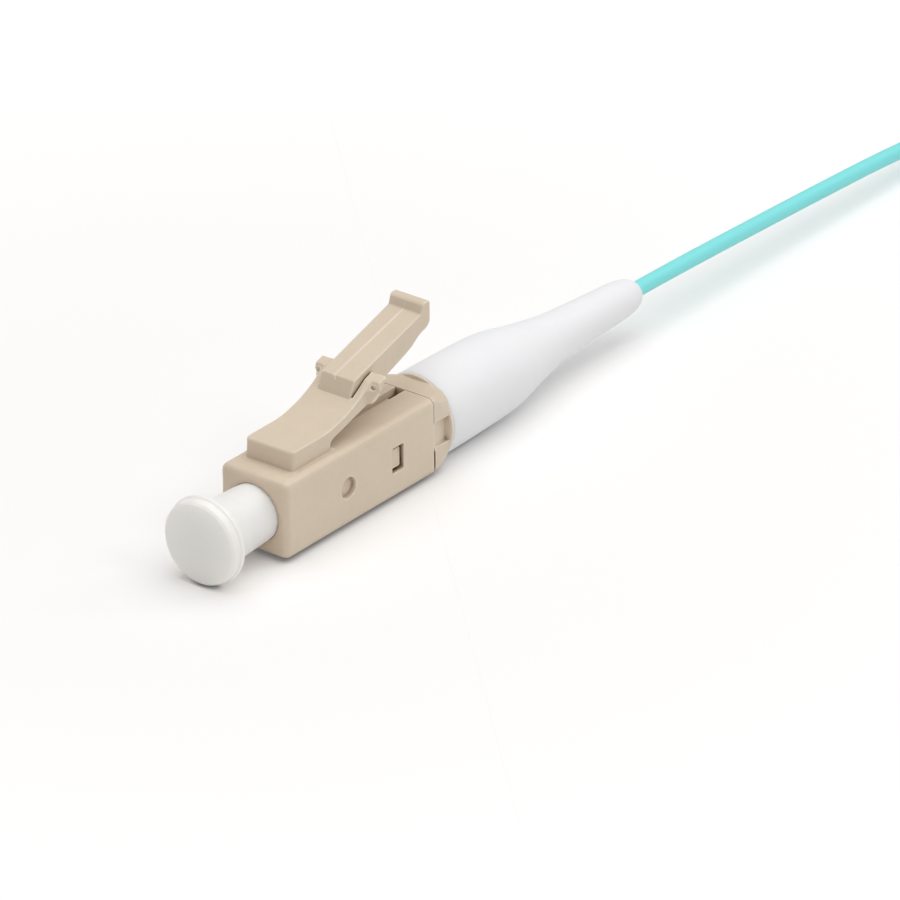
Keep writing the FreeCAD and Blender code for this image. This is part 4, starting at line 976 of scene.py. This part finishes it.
class CONNECTOR_OT_latch(bpy.types.Operator):
    """Latch block, sprung arm, lugs and thumb lever, moulded in one"""
    bl_idname = "connector.latch"
    bl_label = "Latch"

    def execute(self, context):
        sizes = context.scene.connector.latch
        arm, lever, lug = (sizes.arm_width / MM / 2, sizes.lever_width / MM / 2,
                           sizes.lug_span / MM / 2)
        top = flowing([(3.6, 3.38), (4.1, 3.395), (4.55, 3.45), (4.95, 3.53), (5.5, 3.66),
                       (6.0, 3.82), (6.5, 4.03), (6.85, 4.19), (7.4, 4.53), (8.02, 4.94)], 4)
        under = flowing([(7.9, 3.78), (6.8, 3.45), (5.9, 3.19), (5.1, 2.96), (4.78, 2.86),
                         (4.60, 2.73), (4.53, 2.56), (4.60, 2.38), (4.86, 2.25)], 4)
        outline = soften(
            [(1.30, 1.95, 0), (1.31, 2.25, 0), (1.40, 3.38, 0.2)] + [(x, z, 0) for x, z in top]
            + [(8.66, 5.16, 0.1), (8.76, 4.85, 0.1), (8.38, 4.50, 0.2)]
            + [(x, z, 0) for x, z in under] + [(4.86, 1.95, 0)])
        body = prism(outline, -arm, arm, "latch_arm")
        # the block's front corners are rounded, and lean back with its front
        plan = soften([(1.3, -arm, 0.24), (9.5, -arm, 0), (9.5, arm, 0), (1.3, arm, 0.24)])
        foot, slope = 2.25, 0.0885
        lean = loft([[Vector((x + (z - foot) * slope, y, z)) for x, y in plan]
                     for z in (1.9, 6.0)], "block_plan")
        body = combine(body, [lean], "INTERSECT")

        lever_outline = soften([
            (6.75, 4.00, 0), (7.25, 5.09, 0.08), (12.95, 6.76, 0.1), (13.1, 7.22, 0.06),
            (13.24, 7.32, 0.1), (13.62, 7.36, 0.14), (13.76, 7.10, 0.1), (13.72, 6.12, 0.2),
            (13.44, 5.86, 0.3), (12.72, 5.56, 0.6), (12.2, 5.19, 0.6), (11.6, 4.93, 0.8),
            (10.3, 4.46, 1.2), (9.2, 4.10, 1.2), (8.1, 3.95, 0), (7.4, 3.9, 0)], 5)
        thumb = prism(lever_outline, -2.0, 2.0, "thumb_lever")
        plan = soften([(6.0, -lever, 0), (12.9, -lever - 0.03, 0), (13.8, -lever - 0.06, 0.2),
                       (13.8, lever + 0.06, 0.2), (12.9, lever + 0.03, 0), (6.0, lever, 0)])
        thumb = combine(thumb, [prism(plan, 3.0, 8.0, "thumb_plan", "Z")], "INTERSECT")
        lugs = prism(soften([(8.10, 4.45, 0.04), (7.97, 4.60, 0.06), (8.02, 4.95, 0.16),
                             (8.62, 5.14, 0.06), (8.70, 5.06, 0.05), (8.22, 4.47, 0.04)], 4),
                     -lug, lug, "lugs")
        webs = prism([(7.40, 3.70), (7.85, 3.80), (8.16, 4.46), (8.22, 4.97), (7.95, 4.80),
                      (7.40, 4.38)], -lug, lug, "webs")
        slants = [prism([(7.2, side * (arm - 0.04)), (7.50, side * (arm - 0.04)),
                         (8.06, side * lug), (8.06, side * 3.0), (7.2, side * 3.0)],
                        3.0, 6.0, "slant", "Z") for side in (-1, 1)]
        webs = combine(webs, slants, "DIFFERENCE")
        body = mould(combine(body, [lugs, webs], "UNION"), grain=0.04, passes=3)
        thumb = mould(thumb, grain=0.04, passes=3)
        # round marks of the ejector pins, and the narrow gaps beside the lever
        cuts = [round_bar((side * 1.87, 4.71), 0.16, 7.4, 7.93, "pin_mark") for side in (-1, 1)]
        cuts += [prism([(6.96, 4.08), (8.02, 4.80), (8.80, 4.98), (8.80, 5.60), (6.96, 4.60)],
                       side * (lever - 0.2), side * (lever + 0.10), "gap") for side in (-1, 1)]
        body = combine(body, cuts, "DIFFERENCE")
        body = combine(body, [thumb], "UNION")
        # hair-thin line where the two halves of the mould met, with its flash on the fronts
        thin, pivot, aside, slant = 0.007, 10.0, 0.17, -0.03
        line = prism([(7.23, 4.9), (7.23, 5.055), (12.93, 6.760), (12.93, 6.6)], -thin, thin,
                     "parting_line")
        line.data.transform(Matrix.Translation((pivot, aside, 0.0))
                            @ Matrix.Rotation(slant, 4, "Z")
                            @ Matrix.Translation((-pivot, 0.0, 0.0)))
        flash = prism([(6.80, 4.14), (6.798, 4.16), (7.222, 5.08), (7.26, 5.09), (7.26, 5.05),
                       (6.83, 4.14)], 0.135, 0.15, "flash")
        chip = ball((7.16, 0.13, 4.93), 0.045, "chip")
        lip_flash = prism([(12.93, 6.76), (13.087, 7.22), (13.12, 7.22), (12.98, 6.76)],
                          0.068, 0.082, "lip_flash")
        piece = settle(merged([body, line, flash, lip_flash, chip]), "latch_moulding",
                       context.scene.connector_resin)
        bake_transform(piece)
        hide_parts("latch")
        return {"FINISHED"}


class CONNECTOR_OT_rear_body(bpy.types.Operator):
    """Square collar with its clip grooves, and the sleeve inside the housing"""
    bl_idname = "connector.rear_body"
    bl_label = "Rear body"

    def execute(self, context):
        sizes = context.scene.connector.housing
        long_round = sizes.long_round / MM
        back, gap = BOOT_START, 0.035           # the gap shows as the seam's dark line
        cone_front, cone_back, bulge = 3.02, 2.62, 0.05
        rings = []
        for step in range(13):
            share = step / 12
            cone = cone_front + (cone_back - cone_front) * share + bulge * math.sin(math.pi * share)
            place = SEAM + gap + (back - SEAM - gap) * share
            rings.append(square_ring(place, HALF, long_round, cone))
        collar = loft(rings, "collar")
        grooves = []
        for side in (-1, 1):
            plan = [(SEAM - 0.2, side * (HALF - 0.05)), (back + 0.5, side * (HALF - 0.32)),
                    (back + 0.5, side * (HALF + 1)), (SEAM - 0.2, side * (HALF + 1))]
            grooves.append(prism(plan, -0.66, 0.8, "groove", "Z"))
            grooves.append(prism([(SEAM - 1, -2.08), (SEAM + 0.12, -2.08), (SEAM + 0.12, -0.84),
                                  (SEAM - 1, -0.84)], side * 1.8, side * 3.0, "pry_slot"))
        collar = combine(collar, grooves, "DIFFERENCE")
        rim = round_bar((0, 0), 2.47, back - 0.13, back, "collar_rim")
        collar = mould(combine(collar, [rim], "UNION"), grain=0.035, passes=2)
        half = 1.67
        sleeve = prism(rounded_box(-half, -half, half, half, 0.33), 8.2, SEAM + 0.3, "sleeve", "X")
        tabs = prism(rounded_box(8.96, -0.545, 9.74, 0.575, 0.1, 4), -2.09, 2.09, "tabs", "Y")
        bore = round_bar((0, 0), 1.25, 7.0, 10.0, "spring_seat")
        sleeve = combine(combine(sleeve, [tabs], "UNION"), [bore], "DIFFERENCE")
        sleeve = round_off(sleeve, 0.03)
        for name, shape in (("collar", collar), ("inner_sleeve", sleeve)):
            piece = settle(shape, name, context.scene.connector_resin)
            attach(piece, "plug")
            if name == "collar":
                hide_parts("rear_body")
        return {"FINISHED"}


class CONNECTOR_OT_dust_cap(bpy.types.Operator):
    """Dust cap with its tapered barrel, rim and blind bore"""
    bl_idname = "connector.dust_cap"
    bl_label = "Dust cap"

    def execute(self, context):
        tip = (CAP[0].x - FRONT) / MM
        profile = soften([
            (tip + 0.9, 0.0, 0.0), (tip + 0.9, 1.2, 0.1), (2.4, 1.2, 0.04), (2.4, 1.54, 0.1),
            (2.1, 1.61, 0.2), (0.4, 1.612, 0.3), (0.0, 1.648, 0.5), (-2.25, 1.75, 2.0),
            (-3.1, 1.92, 0.5), (-3.6, 2.2, 0.15), (-3.8, 2.49, 0.05), (-4.0, 2.49, 0.05),
            (-4.03, 2.36, 0.02), (-4.09, 2.40, 0.02), (-4.45, 2.36, 0.12), (tip, 2.22, 0.1),
            (tip, 0.0, 0.0)], 6)
        piece = turned_piece("dust_cap_moulding", profile, natural_polyethylene())
        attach(piece, "cap")
        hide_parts("dust_cap")
        return {"FINISHED"}


class CONNECTOR_OT_boot(bpy.types.Operator):
    """Soft tapered boot"""
    bl_idname = "connector.boot"
    bl_label = "Boot"

    def execute(self, context):
        droop = context.scene.connector.turned.boot_droop / MM
        start, end = BOOT_START, BOOT_END
        outside = [Vector((start + 0.02, 2.45)), Vector((start + 0.06, 2.48))] + flowing([
            (start + 0.12, 2.493), (start + 2.5, 2.455), (start + 5.0, 2.395), (start + 6.4, 2.31),
            (start + 7.6, 2.12), (start + 8.65, 1.90), (start + 9.9, 1.67), (start + 11.2, 1.47),
            (start + 12.8, 1.32), (start + 15.0, 1.2), (start + 17.3, 1.10), (end - 0.75, 0.98),
            (end - 0.22, 0.78), (end, 0.6)], 6)
        inside = soften([(end, 0.52, 0.0), (end - 0.1, 0.47, 0.0), (start + 6.5, 0.47, 0.0),
                         (start + 5.9, 1.66, 0.0), (start, 1.66, 0.0), (start, 2.40, 0.0)])
        piece = turned_piece("boot_moulding", inside[3:] + outside + inside[:3],
                             thermoplastic_elastomer(), droop, start + 9.0, end)
        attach(piece, "plug")
        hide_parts("boot")
        return {"FINISHED"}


class CONNECTOR_OT_ferrule_set(bpy.types.Operator):
    """Ferrule, its flange, fibre and spring, and the guide tube"""
    bl_idname = "connector.ferrule_set"
    bl_label = "Ferrule set"

    def execute(self, context):
        low, high = [(PLACE.inverted() @ corner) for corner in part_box("ferrule")]
        profile = soften([
            (high.x - 0.5, 0.068, 0.0), (high.x, 0.37, 0.0), (high.x, 0.6, 0.02),
            (2.4, 0.61, 0.0), (2.4, 0.625, 0.0), (low.x + 0.25, 0.625, 0.15),
            (low.x, 0.47, 0.06), (low.x, 0.068, 0.0)], 4)
        ferrule = turned_piece("zirconia_ferrule", profile + profile[:1], lapped_zirconia())
        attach(ferrule, "ferrule")
        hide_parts("ferrule")

        low, high = [(PLACE.inverted() @ corner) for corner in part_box("ferrule_spring")]
        wire = 0.12
        steel = drawn_stainless()
        base = added("coil", bpy.data.meshes.new("coil"))
        base = grow(base, coil_tree(), {
            "Turns": context.scene.connector.turned.coil_turns, "Coil Radius": high.z - wire,
            "Length": high.x - low.x - 2 * wire, "Wire Radius": wire, "Material": steel})
        base.data.transform(Matrix.Translation((low.x + wire, 0.0, 0.0)))
        spring = settle(base, "coil_spring", steel)
        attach(spring, "plug")
        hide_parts("ferrule_spring")
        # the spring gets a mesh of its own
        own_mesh(spring)

        finishes = {"ferrule_flange": turned_nickel_silver(), "glass_fibre": bare_silica(),
                    "guide_tube": extruded_tube_plastic()}
        for name, finish in finishes.items():
            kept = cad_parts[name]
            kept.data.materials.clear()
            kept.data.materials.append(finish)
        return {"FINISHED"}


class CONNECTOR_PT_panel(bpy.types.Panel):
    """Lists the connector's pieces and settings"""
    bl_idname = "CONNECTOR_PT_panel"
    bl_label = "LC Pigtail Connector"
    bl_space_type = "VIEW_3D"
    bl_region_type = "UI"
    bl_category = "Connector"

    def draw(self, context):
        for operator in OPERATORS:
            self.layout.operator(operator.bl_idname)
        settings = context.scene.connector
        for group in ("housing", "latch", "turned", "fibre", "finish", "stage"):
            box = self.layout.box()
            box.label(text=group.title())
            part = getattr(settings, group)
            for name in part.__annotations__:
                box.prop(part, name)


GROUPS = (HousingSettings, LatchSettings, TurnedSettings, FibreSettings, FinishSettings,
          StageSettings, ConnectorSettings)
OPERATORS = (CONNECTOR_OT_stage, CONNECTOR_OT_fibre, CONNECTOR_OT_tie, CONNECTOR_OT_housing,
             CONNECTOR_OT_latch, CONNECTOR_OT_rear_body, CONNECTOR_OT_dust_cap,
             CONNECTOR_OT_boot, CONNECTOR_OT_ferrule_set)


def register():
    """Register the settings, the operators and the panel."""
    for item in GROUPS + OPERATORS + (CONNECTOR_PT_panel,):
        bpy.utils.register_class(item)
    bpy.types.Scene.connector = PointerProperty(type=ConnectorSettings)
    bpy.types.Scene.connector_resin = PointerProperty(type=bpy.types.Material)


def unregister():
    """Take them away again."""
    del bpy.types.Scene.connector_resin
    del bpy.types.Scene.connector
    for item in reversed(GROUPS + OPERATORS + (CONNECTOR_PT_panel,)):
        bpy.utils.unregister_class(item)


def main():
    """Build every piece in order."""
    register()
    bpy.context.scene.connector_resin = moulded_polyetherimide()
    bpy.ops.connector.stage()
    bpy.ops.connector.fibre()
    bpy.ops.connector.tie()
    bpy.ops.connector.housing()
    bpy.ops.connector.latch()
    bpy.ops.connector.rear_body()
    bpy.ops.connector.dust_cap()
    bpy.ops.connector.boot()
    bpy.ops.connector.ferrule_set()


if __name__ == "__main__":
    main()
